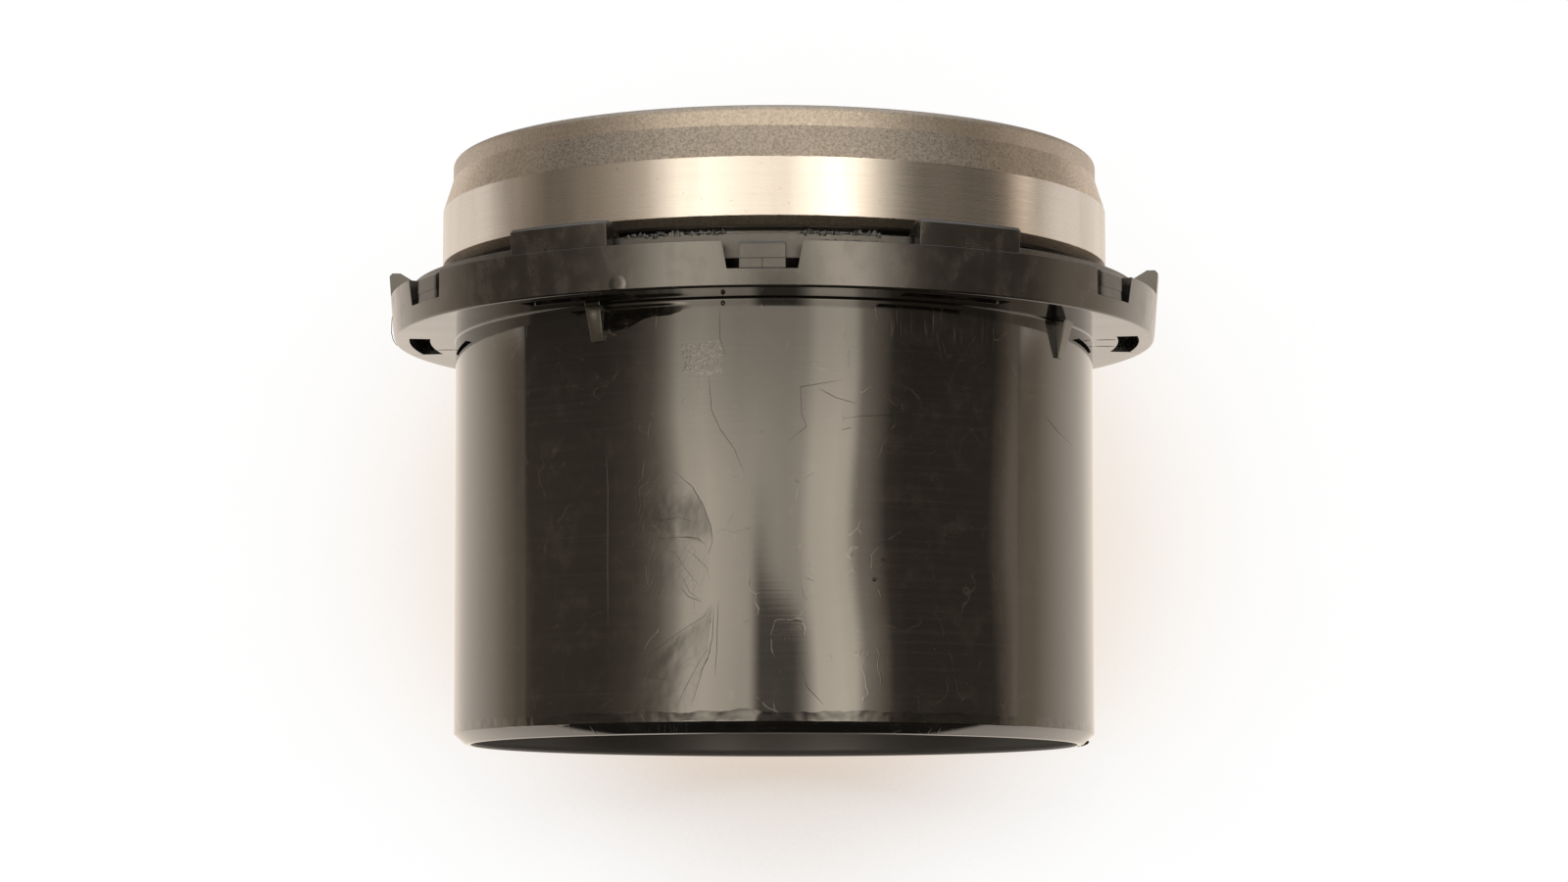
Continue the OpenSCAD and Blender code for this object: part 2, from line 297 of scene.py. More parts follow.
class Finish(Net):
    """A procedural material."""

    def __init__(self, name):
        self.material = bpy.data.materials.new(name)
        self.material.use_nodes = True
        self.material.node_tree.nodes.clear()
        super().__init__(self.material.node_tree)

    def place(self, stretch=(1, 1, 1)):
        """Object coordinates in millimetres, stretched along each axis."""
        spot = self.node("ShaderNodeTexCoord", out="Object")
        factor = tuple(share / MM for share in stretch)
        return self.node("ShaderNodeVectorMath", {"operation": "MULTIPLY"}, {0: spot, 1: factor})

    def axes(self, vector):
        """The three parts of a vector."""
        return [self.node("ShaderNodeSeparateXYZ", inputs={0: vector}, out=axis) for axis in range(3)]

    def round_place(self):
        """Angle from the front in degrees, radius and level, both in millimetres."""
        x, y, z = self.axes(self.place())
        turn = self.node("ShaderNodeMath", {"operation": "ARCTAN2"}, {0: x, 1: 0.0 - y})
        radius = (x * x + y * y) ** 0.5
        return turn * math.degrees(1), radius, z

    def noise(self, waves, detail=2.0, rough=0.5, out=0):
        """Soft noise from 0 to 1, with a number of waves for each millimetre, or one for each axis."""
        stretch = waves if isinstance(waves, tuple) else (waves, waves, waves)
        return self.node("ShaderNodeTexNoise", None, {"Vector": self.place(stretch), "Scale": 1.0,
                                                      "Detail": detail, "Roughness": rough}, out)

    def patches(self, waves, detail, rough, low, high):
        """Patches of noise: 0 where it is under the low level, 1 where it is over the high one."""
        return self.step(self.noise(waves, detail, rough), low, high)

    def cell_edges(self, vector):
        """Distance from the edges between Voronoi cells."""
        return self.node("ShaderNodeTexVoronoi", {"feature": "DISTANCE_TO_EDGE"},
                         {"Vector": vector, "Scale": 1.0}, "Distance")

    def step(self, value, low, high, start=0.0, end=1.0):
        """Smooth change from start to end as value goes from low to high."""
        return self.node("ShaderNodeMapRange", {"interpolation_type": "SMOOTHSTEP"},
                         {"Value": value, "From Min": low, "From Max": high, "To Min": start, "To Max": end})

    def fall(self, value, low, high):
        """Smooth fall from 1 to 0 as value goes from low to high."""
        return self.step(value, low, high, 1.0, 0.0)

    def linear(self, value, low, high, start=0.0, end=1.0):
        """Even rise from start to end as value goes from low to high."""
        return self.node("ShaderNodeMapRange", None,
                         {"Value": value, "From Min": low, "From Max": high, "To Min": start, "To Max": end})

    def within(self, value, low, high, soft):
        """1 between two levels, with soft ends."""
        return self.step(value, low - soft, low + soft) * self.fall(value, high - soft, high + soft)

    def mix(self, share, first, second):
        """Colour between two colours."""
        first = first if isinstance(first, Wire) else (*first, 1)
        second = second if isinstance(second, Wire) else (*second, 1)
        return self.node("ShaderNodeMix", {"data_type": "RGBA"}, {0: share, 6: first, 7: second}, 2)

    def bump(self, height, depth, normal=None):
        """Normal of a relief whose height from 0 to 1 spans a depth in metres."""
        inputs = {"Height": height, "Distance": depth, "Strength": 1.0}
        if normal is not None:
            inputs["Normal"] = normal
        return self.node("ShaderNodeBump", None, inputs)

    def curve(self, value, stops):
        """A value read from stops, each a place and a level, with straight lines between them."""
        places, levels = zip(*stops)
        first, last = places[0], places[-1]
        low, span = min(levels), max(levels) - min(levels)
        share = [((place - first) / (last - first), (level - low) / span) for place, level in stops]
        ramp = self.node("ShaderNodeValToRGB", {"stops": share}, {0: self.linear(value, first, last)})
        return ramp * span + low

    def openness(self, distance):
        """1 in the open, less where something stands within the distance in metres."""
        return self.node("ShaderNodeAmbientOcclusion", {"samples": 16}, {"Distance": distance}, "AO")

    def glow(self, tint, level):
        """Light of its own."""
        return self.node("ShaderNodeEmission", None, {"Color": tint, "Strength": level})

    def end(self, shader):
        """Ends the tree in a surface and hands the material over."""
        self.node("ShaderNodeOutputMaterial", None, {"Surface": shader})
        return self.material

    def surface(self, **sockets):
        """A principled surface, with underscores for the spaces in its sockets' names."""
        inputs = {name.replace("_", " "): value for name, value in sockets.items()}
        return self.node("ShaderNodeBsdfPrincipled", None, inputs)


# Places in the sleeve's finish, in degrees from the front and millimetres: start, end and how soft both are
WALL_TOP_BELOW_FLANGE = (-0.8, -0.3)
RIM_START_AT_FLANGE = (-0.1, 0.3)
GUSSET_TOP_BELOW_FLANGE = (-0.5, -0.4)
GUSSET_OFF_WALL = (0.2, 0.35)
BORE_EDGE = (0.1, 0.3)
# Grey in the bore, fading from its level at the mouth to a lower one higher up: the dull bore, with painted
# shade deeper inside
BORE_SHADE_Z = (0.8, 7.0)
BORE_GREY_AT_MOUTH, BORE_GREY_DEEPER = 0.55, 0.1
MOUTH_EDGE = (0.2, 0.28)
MOUTH_TOP_Z = (0.7, 0.8)
SEAM_TURN = 31.0
SEAM_HALF_WIDTH = (0.08, 0.2)
RUBBED_Z, RUBBED_TURN = (43.0, 46.2, 0.9), (19.0, 38.0, 5.0)
SMUDGE_Z, SMUDGE_TURN = (39.0, 42.3, 0.4), (-13.6, -7.2, 0.5)
HOOK_END_SOFTNESS = 0.1
FOOT_LINE_HALF_WIDTH = (0.02, 0.07)
ROLL_Z, ROLL_EDGE = (1.25, 2.3), (0.02, 0.2)
ROLL_LUMPS, SINK_LUMPS = 1.2, 1.1
SINK_BELOW_FLANGE = (-2.8, -0.3)
SINK_LEFT, SINK_RIGHT = (-30.8, -27.8), (-17.5, -11.5)
SINK_TURN, SINK_SLOPE = -24.0, 0.15
DENT_TURN, DENT_ABOVE_FLANGE = -20.5, 0.8
DENT_SHRINK, DENT_REACH = 0.78, (0.0, 1.1)
LAP_EDGE = [(2.0, -13.0), (5.0, -11.0), (8.0, -9.6), (11.0, -9.0), (13.0, -8.7), (14.35, -8.4),
            (14.45, -10.4), (17.0, -9.5), (19.2, -9.0), (20.6, -8.6), (22.3, -8.9), (24.7, -10.3),
            (26.6, -12.1), (28.3, -15.2), (30.0, -19.0)]
LAP_FRONT, LAP_FADE, LAP_SPLIT_Z = (0.0, 0.12), (3.0, 8.5), (14.35, 14.45)
LOW_LAP_TURN, LOW_LAP_Z, LOW_LAP_SLOPE = -8.4, 14.4, 0.6
LOW_LAP_EDGE, LOW_LAP_FADE_Z, LOW_LAP_LEAST = (0.0, 1.6), (6.0, 11.5), 0.4
HIGH_LAP_Z, HIGH_LAP_TAILS_Z, HIGH_LAP_TAILS = (21.2, 25.0, 1.2), (15.5, 27.0, 1.5), 0.25
HATCH_PITCH, HATCH_LEAN, HATCH_WANDER, HATCH_START = 0.75, 0.45, 5.0, 100.0

# Noise in the sleeve's finish: waves for each millimetre, detail, roughness, and two levels for patches
TURNED_LINES, SLOW_WAVES = ((0.02, 0.02, 3.6), 4.0, 0.7), ((0.07, 0.07, 0.028), 1.0)
LUMP_WAVES, HATCH_WAVES = 0.3, (0.3, 0.3, 0.2)
RUB_STREAKS = ((2.0, 2.0, 0.12), 3.0, 0.6, 0.5, 0.72)
SMUDGE_PATCHES = (2.2, 2.0, 0.5, 0.45, 0.6)
DULL_PATCHES = ((0.45, 0.45, 0.315), 3.0, 0.6, 0.4, 0.8)
WORN_PATCHES, WORN_LINE_LEVELS = (0.32, 5.0, 0.65, 0.48, 0.75), (0.46, 0.7)
SPECKS = ((2.6, 2.6, 1.3), 2.0, 0.5, 0.74, 0.78)
HAIR_CELLS, HAIR_SWAY, HAIR_HALF_WIDTH = (0.2, 0.2, 0.1), 0.16, (0.002, 0.012)
HAIR_STRETCHES = ((0.55, 0.55, 0.33), 3.0, 0.5, 0.5, 0.58)

# Shares of the sleeve's masks in its dry grey, its roughness and its relief
SLEEVE_DULLED = {"dull_rim": 0.26, "gusset": 0.5, "dull_bore_and_shade": 1.0}
SLEEVE_WORN = {"worn": 1.0, "specks": 0.6, "rubbed": 0.8, "hairs": 0.3}
WORN_LINES, WORN_CLOUDS = 0.09, 0.16
SLEEVE_GLOSS = 0.03
SLEEVE_ROUGHNESS = {"lines": 0.05, "lap": 0.16, "rubbed": 0.2, "smudge": 0.2, "gusset": 0.12, "rim": 0.17,
                    "dull_rim": 0.1, "bore": 0.3, "mouth": 0.3}
SLEEVE_HOLLOWS = {"dent": 0.3, "roll": -0.6, "sink": -1.5}
SLEEVE_RELIEF = {"hairs": 1.2, "lines": 0.42, "seam": 1.5, "dull_rim": 1.0, "smudge": 5.0,
                 "foot_line": -12.0}
WAVE_DEPTH, HOLLOW_DEPTH, HATCH_DEPTH, RELIEF_DEPTH = (
    150 * MICRON, 210 * MICRON, 30 * MICRON, 2.4 * MICRON)


def summed(masks, shares):
    """Sum of the named masks, each times its share."""
    return sum(masks[name] * share for name, share in shares.items())


def greatest(masks, shares):
    """Highest of the named masks, each times its share."""
    return functools.reduce(Wire.greater, [masks[name] * share for name, share in shares.items()])


def lap_masks(f, size, turn, z):
    """Two laps where the plastic flowed together, and the hatch of small facets on them."""
    arc = math.radians(size.outer_r / MM)
    depth = (f.curve(z, LAP_EDGE) - turn) * arc
    lap = f.step(depth, *LAP_FRONT) * f.fall(depth, *LAP_FADE)
    low_top = (turn - LOW_LAP_TURN) * LOW_LAP_SLOPE + LOW_LAP_Z - z
    lower = f.step(low_top, *LOW_LAP_EDGE) * f.step(z, *LOW_LAP_FADE_Z, LOW_LAP_LEAST, 1.0)
    upper = f.within(z, *HIGH_LAP_Z) + f.within(z, *HIGH_LAP_TAILS_Z) * HIGH_LAP_TAILS
    lap = lap * f.step(z, *LAP_SPLIT_Z, lower, upper)
    wander = (f.noise(HATCH_WAVES) - 0.5) * HATCH_WANDER
    facets = (turn * arc - z * HATCH_LEAN + wander + HATCH_START).wrapped(HATCH_PITCH)
    return {"lap": lap, "hatch": facets * lap}


def hollow_masks(f, wall, turn, inside, above, z):
    """The end that rolls inwards, the sink beside a gusset and a dent in the rim."""
    lumps = f.noise(LUMP_WAVES) - 0.5
    roll = f.linear(z + lumps * ROLL_LUMPS, *ROLL_Z, 1.0, 0.0) * f.step(inside, *ROLL_EDGE)
    sink = f.linear(above + lumps * SINK_LUMPS - (turn - SINK_TURN) * SINK_SLOPE, *SINK_BELOW_FLANGE)
    sink = sink * f.step(turn, *SINK_LEFT) * f.fall(turn, *SINK_RIGHT) * wall
    away = ((turn - DENT_TURN) * DENT_SHRINK) ** 2.0 + (above - DENT_ABOVE_FLANGE) ** 2.0
    return {"roll": roll, "sink": sink, "dent": f.fall(away, *DENT_REACH)}


def sleeve_masks(f, size):
    """Masks of the sleeve's zones and marks, by name."""
    turn, radius, z = f.round_place()
    above, inside = z - size.flange_z / MM, radius - size.bore_r / MM
    wall, rim = f.fall(above, *WALL_TOP_BELOW_FLANGE), f.step(above, *RIM_START_AT_FLANGE)
    gusset = f.step(radius - size.outer_r / MM, *GUSSET_OFF_WALL) * f.fall(above, *GUSSET_TOP_BELOW_FLANGE)
    bore = f.fall(inside, *BORE_EDGE)
    mouth = f.fall(inside, *MOUTH_EDGE) * f.fall(z, *MOUTH_TOP_Z)
    lines = f.noise(*TURNED_LINES)
    quarter = 90.0 - (turn.size() - 90.0).size()
    seam = f.fall((quarter - SEAM_TURN).size(), *SEAM_HALF_WIDTH) * wall
    rubbed = f.patches(*RUB_STREAKS) * f.within(z, *RUBBED_Z) * f.within(turn, *RUBBED_TURN)
    smudge = f.within(turn, *SMUDGE_TURN) * f.within(z, *SMUDGE_Z) * f.patches(*SMUDGE_PATCHES)
    worn = f.step(lines, *WORN_LINE_LEVELS) * WORN_LINES + f.patches(*WORN_PATCHES) * WORN_CLOUDS
    sway = f.noise(HAIR_SWAY, out="Color")
    bent = f.node("ShaderNodeVectorMath", {"operation": "ADD"}, {0: f.place(HAIR_CELLS), 1: sway})
    hairs = f.fall(f.cell_edges(bent), *HAIR_HALF_WIDTH) * wall * f.patches(*HAIR_STRETCHES)
    pitch, half = 360.0 / size.hooks, math.degrees(size.hook_span) / 2
    hook = f.within((turn + 180.0).wrapped(pitch), pitch / 2 - half, pitch / 2 + half, HOOK_END_SOFTNESS)
    foot_line = f.fall((z - size.rim_z / MM).size(), *FOOT_LINE_HALF_WIDTH) * hook
    return {"rim": rim, "gusset": gusset, "bore": bore, "mouth": mouth, "lines": lines, "seam": seam,
            "waves": f.noise(*SLOW_WAVES), "rubbed": rubbed, "smudge": smudge, "hairs": hairs,
            "dull_rim": f.patches(*DULL_PATCHES) * rim, "worn": worn * wall,
            "specks": f.patches(*SPECKS) * wall, "foot_line": foot_line,
            # dull bore, less grey higher up: painted shade deeper inside the bore
            "dull_bore_and_shade": bore * f.step(z, *BORE_SHADE_Z, BORE_GREY_AT_MOUTH, BORE_GREY_DEEPER),
            **lap_masks(f, size, turn, z), **hollow_masks(f, wall, turn, inside, above, z)}


def sleeve_finish(tints, size):
    """Glossy black moulding: lines of the turned mould, slow waves, laps, a sink beside a gusset, an end
    that rolls inwards, a satin rim and gussets, and a mould line at the foot of each hook."""
    f = Finish("sleeve_plastic_gloss")
    masks = sleeve_masks(f, size)
    body = f.mix(greatest(masks, SLEEVE_DULLED), tints.sleeve, tints.scuff)
    body = f.mix(greatest(masks, SLEEVE_WORN), body, tints.scuff)
    rough = summed(masks, SLEEVE_ROUGHNESS) + SLEEVE_GLOSS
    normal = f.bump(masks["waves"], WAVE_DEPTH)
    normal = f.bump(summed(masks, SLEEVE_HOLLOWS), HOLLOW_DEPTH, normal)
    normal = f.bump(masks["hatch"], HATCH_DEPTH, normal)
    normal = f.bump(summed(masks, SLEEVE_RELIEF), RELIEF_DEPTH, normal)
    return f.end(f.surface(Base_Color=body, Roughness=rough, Specular_IOR_Level=1.0, Normal=normal))


# Places in the carrier's and the outer ring's finish, as in the sleeve's
LUG_LINE_HALF_WIDTH, LUG_LINE_TOP_Z = (0.03, 0.09), (50.2, 50.3)
LUG_LINE_DEPTH = 8.0
BAND_SIDE_INSIDE, BAND_END_SOFTNESS, BAND_RAGGEDNESS = (-0.5, -0.3), 0.05, 0.1
FACE_BELOW_TOP, FACE_POLISH = (-0.1, -0.03), 0.75
NECK_EDGE, FOOT_EDGE = (-0.06, 0.06), (-0.1, 0.02)
BAND_ROUGHNESS, BAND_LINES_ROUGHNESS, NECK_ROUGHNESS = 0.28, 0.12, 0.14
BLASTED_ROUGHNESS, SPARK_GLOSS = 0.39, 0.16
BLASTED_DEPTH, BAND_LINES_DEPTH = 34 * MICRON, 2.0 * MICRON
BLASTED_GRAIN, GRAIN_LEVELS, GRAIN_STAIN = (3.4, 3.0, 0.7), (0.32, 0.62), 0.75
BLASTED_SPARKS, SPARK_SHINE = (4.6, 1.0, 0.5, 0.62, 0.72), 0.5
BLASTED_CLOUDS, CLOUD_STAIN = ((0.16, 0.16, 0.096), 3.0, 0.6, 0.4, 0.8), 0.3
RAGGED_EDGE, GROUND_LINES = (0.9, 3.0), ((0.012, 0.012, 5.0), 3.0, 0.65)
BAND_FILM, FILM_STAIN = ((0.16, 0.16, 0.02), 3.0, 0.6, 0.42, 0.72), 0.28
BAND_FLECKS, FLECK_STAIN = ((1.4, 1.4, 2.2), 2.0, 0.5, 0.7, 0.76), 0.5
NECK_SHINE, FOOT_STAIN = 0.35, 0.5


def carrier_finish(tints, size):
    """Satin black moulding with a fine grain, and a mould line down the foot of each lug."""
    f = Finish("carrier_plastic_satin")
    turn, radius, z = f.round_place()
    half = 180.0 / size.hooks
    from_lug = (turn + 180.0 + half).wrapped(2 * half) - half
    line = f.fall(from_lug.size(), *LUG_LINE_HALF_WIDTH) * f.fall(z, *LUG_LINE_TOP_Z)
    grain = f.noise(5.0, 3.0, 0.6)
    cloud = f.noise(0.5, 3.0)
    body = f.mix(f.step(cloud, 0.45, 0.75) * 0.4, tints.carrier, tints.scuff)
    return f.end(f.surface(Base_Color=body, Roughness=0.26 + cloud * 0.25, Specular_IOR_Level=0.9,
                           Normal=f.bump(grain - line * LUG_LINE_DEPTH, 5 * MICRON)))


def blasted_parts(f, tints):
    """Colour, roughness and relief of blasted steel."""
    grain = f.noise(*BLASTED_GRAIN)
    spark = f.patches(*BLASTED_SPARKS)
    body = f.mix(f.step(grain, *GRAIN_LEVELS, GRAIN_STAIN, 0.0), tints.blasted, tints.stain)
    body = f.mix(f.patches(*BLASTED_CLOUDS) * CLOUD_STAIN, body, tints.stain)
    body = f.mix(spark * SPARK_SHINE, body, tints.ground)
    return body, BLASTED_ROUGHNESS - spark * SPARK_GLOSS, grain


def ring_finish(tints, size):
    """Outer ring: a band ground all round, between a blasted taper above and a rough foot below."""
    f = Finish("outer_ring_steel_ground_and_blasted")
    turn, radius, z = f.round_place()
    low = size.band_z / MM
    high = low + size.band_h / MM
    ragged = (f.noise(*RAGGED_EDGE) - 0.5) * BAND_RAGGEDNESS
    ground = f.within(z + ragged, low, high, BAND_END_SOFTNESS)
    ground = ground * f.step(radius - size.band_r / MM, *BAND_SIDE_INSIDE)
    face = f.step(z - size.face_z / MM, *FACE_BELOW_TOP)
    polish = ground.greater(face * FACE_POLISH)
    neck = f.step(z - size.neck_z / MM, *NECK_EDGE)
    foot = f.fall(z - low, *FOOT_EDGE)
    body, rough, relief = blasted_parts(f, tints)
    body = f.mix(neck * NECK_SHINE, body, tints.ground)
    body = f.mix(foot * FOOT_STAIN, body, tints.stain)
    lines = f.noise(*GROUND_LINES)
    film, flecks = f.patches(*BAND_FILM) * FILM_STAIN, f.patches(*BAND_FLECKS) * FLECK_STAIN
    shine = f.mix(film.greater(flecks), tints.ground, tints.stain)
    colour_here = f.mix(polish, body, shine)
    rough = rough + neck * NECK_ROUGHNESS
    rough_here = rough + polish * (BAND_ROUGHNESS + (lines - 0.5) * BAND_LINES_ROUGHNESS - rough)
    normal = f.bump(relief * (1.0 - polish), BLASTED_DEPTH)
    normal = f.bump(lines * polish, BAND_LINES_DEPTH, normal)
    return f.end(f.surface(Base_Color=colour_here, Metallic=1.0, Roughness=rough_here, Anisotropic=0.4,
                           Anisotropic_Rotation=0.25, Normal=normal))


def ground_finish(name, tints):
    """Ground steel, with fine lines round the axis."""
    f = Finish(name)
    lines = f.noise((0.02, 0.02, 4.0), 3.0, 0.65)
    cloud = f.noise(0.2, 3.0)
    body = f.mix(f.step(cloud, 0.45, 0.8) * 0.4, tints.ground, tints.stain)
    return f.end(f.surface(Base_Color=body, Metallic=1.0, Roughness=0.24 + lines * 0.16,
                           Normal=f.bump(lines, 2 * MICRON)))


def ball_finish(tints):
    """Polished chrome steel under a thin film of grease."""
    f = Finish("ball_steel_polished")
    film = f.noise(0.8, 3.0)
    body = f.mix(f.step(film, 0.4, 0.8) * 0.25, tints.ground, tints.stain)
    return f.end(f.surface(Base_Color=body, Metallic=1.0, Roughness=0.06 + film * 0.1))


def spring_finish(tints):
    """Rolled spring strip."""
    f = Finish("spring_steel_rolled")
    rolled = f.noise((1.5, 1.5, 0.2), 4.0, 0.6)
    body = f.mix(rolled, tints.blasted, tints.ground)
    return f.end(f.surface(Base_Color=body, Metallic=1.0, Roughness=0.28 + rolled * 0.2,
                           Normal=f.bump(rolled, 4 * MICRON)))


def rubber_finish(tints):
    """Matt nitrile rubber."""
    f = Finish("seal_rubber_matt")
    grain = f.noise(4.0, 4.0, 0.6)
    body = f.mix(grain * 0.35, tints.rubber, tints.scuff)
    return f.end(f.surface(Base_Color=body, Roughness=0.55 + grain * 0.2, Normal=f.bump(grain, 8 * MICRON)))


def cage_finish(tints):
    """Polyamide with short glass fibres."""
    f = Finish("cage_polyamide_fibred")
    fibres = f.noise((3.0, 3.0, 0.5), 4.0, 0.7)
    body = f.mix(fibres * 0.5, tints.cage, tints.stain)
    return f.end(f.surface(Base_Color=body, Roughness=0.4 + fibres * 0.2, Normal=f.bump(fibres, 5 * MICRON)))


def polar(radius, degrees, level):
    """Point at an angle from the front, towards +X."""
    turn = math.radians(degrees)
    return Vector((radius * math.sin(turn), -radius * math.cos(turn), level))


def add_object(name, mesh):
    """Puts a mesh into the scene as an object at the origin."""
    made = bpy.data.objects.new(name, mesh)
    bpy.context.scene.collection.objects.link(made)
    return made


def plain_mesh(name, points, faces, edges=()):
    """A mesh from points and faces."""
    mesh = bpy.data.meshes.new(name)
    mesh.from_pydata([tuple(point) for point in points], list(edges), list(faces))
    return mesh


def evaluated(made):
    """The object's mesh with its modifiers applied. The object itself is taken away."""
    graph = bpy.context.evaluated_depsgraph_get()
    mesh = bpy.data.meshes.new_from_object(made.evaluated_get(graph))
    bpy.data.objects.remove(made)
    return mesh


BEVEL_FROM = math.radians(32)
SHARP_FROM = math.radians(62)


def rounded(mesh, width, segments=2):
    """The mesh with its sharp edges rounded."""
    made = add_object("rounding", mesh)
    bevel = made.modifiers.new("Corners", "BEVEL")
    bevel.width = width
    bevel.segments = segments
    bevel.limit_method = "ANGLE"
    bevel.angle_limit = BEVEL_FROM
    bevel.miter_outer = "MITER_ARC"
    return evaluated(made)


def joined(meshes):
    """One mesh of several."""
    whole = bmesh.new()
    for mesh in meshes:
        whole.from_mesh(mesh)
    mesh = bpy.data.meshes.new("joined")
    whole.to_mesh(mesh)
    whole.free()
    return mesh


def finished(name, meshes, material, body, nodes):
    """Makes the piece: smooth faces with flat-looking flats, its material, and its place in the frame."""
    mesh = joined(meshes)
    mesh.polygons.foreach_set("use_smooth", [True] * len(mesh.polygons))
    mesh.set_sharp_from_angle(angle=SHARP_FROM)
    made = add_object(name + "_draft", mesh)
    weighted = made.modifiers.new("Flats", "WEIGHTED_NORMAL")
    weighted.mode = "FACE_AREA"
    weighted.weight = 100
    weighted.keep_sharp = True
    mesh = evaluated(made)
    mesh.name = name
    mesh.materials.clear()
    mesh.materials.append(material)
    piece = add_object(name, mesh)
    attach(piece, body)
    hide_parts(*nodes)


def geometry_tree(name, inputs):
    """A geometry tree with a geometry input and the named inputs. Returns the net and the inputs as wires."""
    inputs = {**inputs, "Material": "Material"}
    tree = bpy.data.node_groups.new(name, "GeometryNodeTree")
    tree.interface.new_socket("Geometry", in_out="INPUT", socket_type="NodeSocketGeometry")
    for label, kind in inputs.items():
        tree.interface.new_socket(label, in_out="INPUT", socket_type="NodeSocket" + kind)
    tree.interface.new_socket("Geometry", in_out="OUTPUT", socket_type="NodeSocketGeometry")
    net = Net(tree)
    source = net.node("NodeGroupInput").socket.node
    wires = {socket.name: Wire(net, socket) for socket in source.outputs if socket.name}
    return net, wires


def close_tree(net, geometry, material):
    """Ends a geometry tree: instances made real, faces smooth and the material set."""
    real = net.node("GeometryNodeRealizeInstances", None, {"Geometry": geometry})
    smooth = net.node("GeometryNodeSetShadeSmooth", None, {"Geometry": real})
    dressed = net.node("GeometryNodeSetMaterial", None, {"Geometry": smooth, "Material": material})
    net.node("NodeGroupOutput", None, {0: dressed})
    return net.tree


def grown(name, mesh, values):
    """The mesh that the named geometry tree makes of a source mesh."""
    tree = bpy.data.node_groups.get(name) or TREES[name](name)
    made = add_object("source", mesh)
    modifier = made.modifiers.new("Growth", "NODES")
    modifier.node_group = tree
    for item in tree.interface.items_tree:
        if item.in_out == "INPUT" and item.name in values:
            modifier[item.identifier] = values[item.name]
    return evaluated(made)


def turned_tree(name):
    """Turns a closed section about the axis, with rounded corners."""
    net, given = geometry_tree(name, {"Spine radius": "Float", "Segments": "Int", "Corner radius": "Float"})
    section = net.node("GeometryNodeMeshToCurve", None, {"Mesh": given["Geometry"]})
    section = net.node("GeometryNodeFilletCurve", {"mode": "POLY"},
                       {"Curve": section, "Count": 3, "Radius": given["Corner radius"], "Limit Radius": True})
    spine = net.node("GeometryNodeCurvePrimitiveCircle", None,
                     {"Resolution": given["Segments"], "Radius": given["Spine radius"]})
    solid = net.node("GeometryNodeCurveToMesh", None, {"Curve": spine, "Profile Curve": section})
    return close_tree(net, solid, given["Material"])


def repeat_tree(name):
    """Repeats a shape round the axis."""
    net, given = geometry_tree(name, {"Count": "Int", "First angle": "Float"})
    points = net.node("GeometryNodePoints", None, {"Count": given["Count"]})
    order = net.node("GeometryNodeInputIndex")
    turn = order * math.tau / given["Count"] + given["First angle"]
    spin = net.node("ShaderNodeCombineXYZ", None, {"Z": turn})
    copies = net.node("GeometryNodeInstanceOnPoints", None,
                      {"Points": points, "Instance": given["Geometry"], "Rotation": spin})
    return close_tree(net, copies, given["Material"])


RANDOM_SEED = 0
SHARD_LEAN = Vector((0.7, 0.7, 3.1))


def random_vector(net, least, most):
    """A random vector for each point, between two vectors."""
    return net.node("FunctionNodeRandomValue", {"data_type": "FLOAT_VECTOR"},
                    {0: least, 1: most, "Seed": RANDOM_SEED})


def flash_tree(name):
    """Ragged shards of moulding flash along paths."""
    net, given = geometry_tree(name, {"Spacing": "Float", "Least": "Vector", "Most": "Vector"})
    path = net.node("GeometryNodeMeshToCurve", None, {"Mesh": given["Geometry"]})
    path = net.node("GeometryNodeResampleCurve", {"mode": "LENGTH"},
                    {"Curve": path, "Length": given["Spacing"]})
    shard = net.node("GeometryNodeMeshCone", None,
                     {"Vertices": 5, "Radius Top": 0.25, "Radius Bottom": 1.0, "Depth": 1.0}, "Mesh")
    sizes = random_vector(net, given["Least"], given["Most"])
    lean = random_vector(net, -SHARD_LEAN, SHARD_LEAN)
    shards = net.node("GeometryNodeInstanceOnPoints", None,
                      {"Points": path, "Instance": shard, "Rotation": lean, "Scale": sizes})
    return close_tree(net, shards, given["Material"])


def thread_tree(name):
    """Raised threads along paths, thinning at both ends."""
    net, given = geometry_tree(name, {"Thickness": "Float"})
    path = net.node("GeometryNodeMeshToCurve", None, {"Mesh": given["Geometry"]})
    along = net.node("GeometryNodeSplineParameter")
    swell = 1.0 - ((along - 0.5).size() * 2.0) ** 3.0
    section = net.node("GeometryNodeCurvePrimitiveCircle", None,
                       {"Resolution": 6, "Radius": given["Thickness"]})
    thread = net.node("GeometryNodeCurveToMesh", None, {"Curve": path, "Profile Curve": section,
                                                        "Scale": swell * 0.8 + 0.2, "Fill Caps": True})
    return close_tree(net, thread, given["Material"])


def lump_tree(name):
    """Torn lumps of plastic, one at each point."""
    net, given = geometry_tree(name, {"Least": "Vector", "Most": "Vector", "Tear": "Float"})
    ball = net.node("GeometryNodeMeshIcoSphere", None, {"Radius": 1.0, "Subdivisions": 4}, "Mesh")
    spot = net.node("GeometryNodeInputPosition")
    push = net.node("ShaderNodeTexNoise", None, {"Vector": spot, "Scale": 1.7, "Detail": 3.0}, "Color")
    push = net.node("ShaderNodeVectorMath", {"operation": "SUBTRACT"}, {0: push, 1: (0.5, 0.5, 0.5)})
    push = net.node("ShaderNodeVectorMath", {"operation": "SCALE"}, {0: push, "Scale": given["Tear"]})
    torn = net.node("GeometryNodeSetPosition", None, {"Geometry": ball, "Offset": push})
    sizes = random_vector(net, given["Least"], given["Most"])
    lumps = net.node("GeometryNodeInstanceOnPoints", None,
                     {"Points": given["Geometry"], "Instance": torn, "Scale": sizes})
    return close_tree(net, lumps, given["Material"])


TREES = {"Turned piece": turned_tree, "Copies round the axis": repeat_tree, "Moulding flash": flash_tree,
         "Raised threads": thread_tree, "Torn lumps": lump_tree}


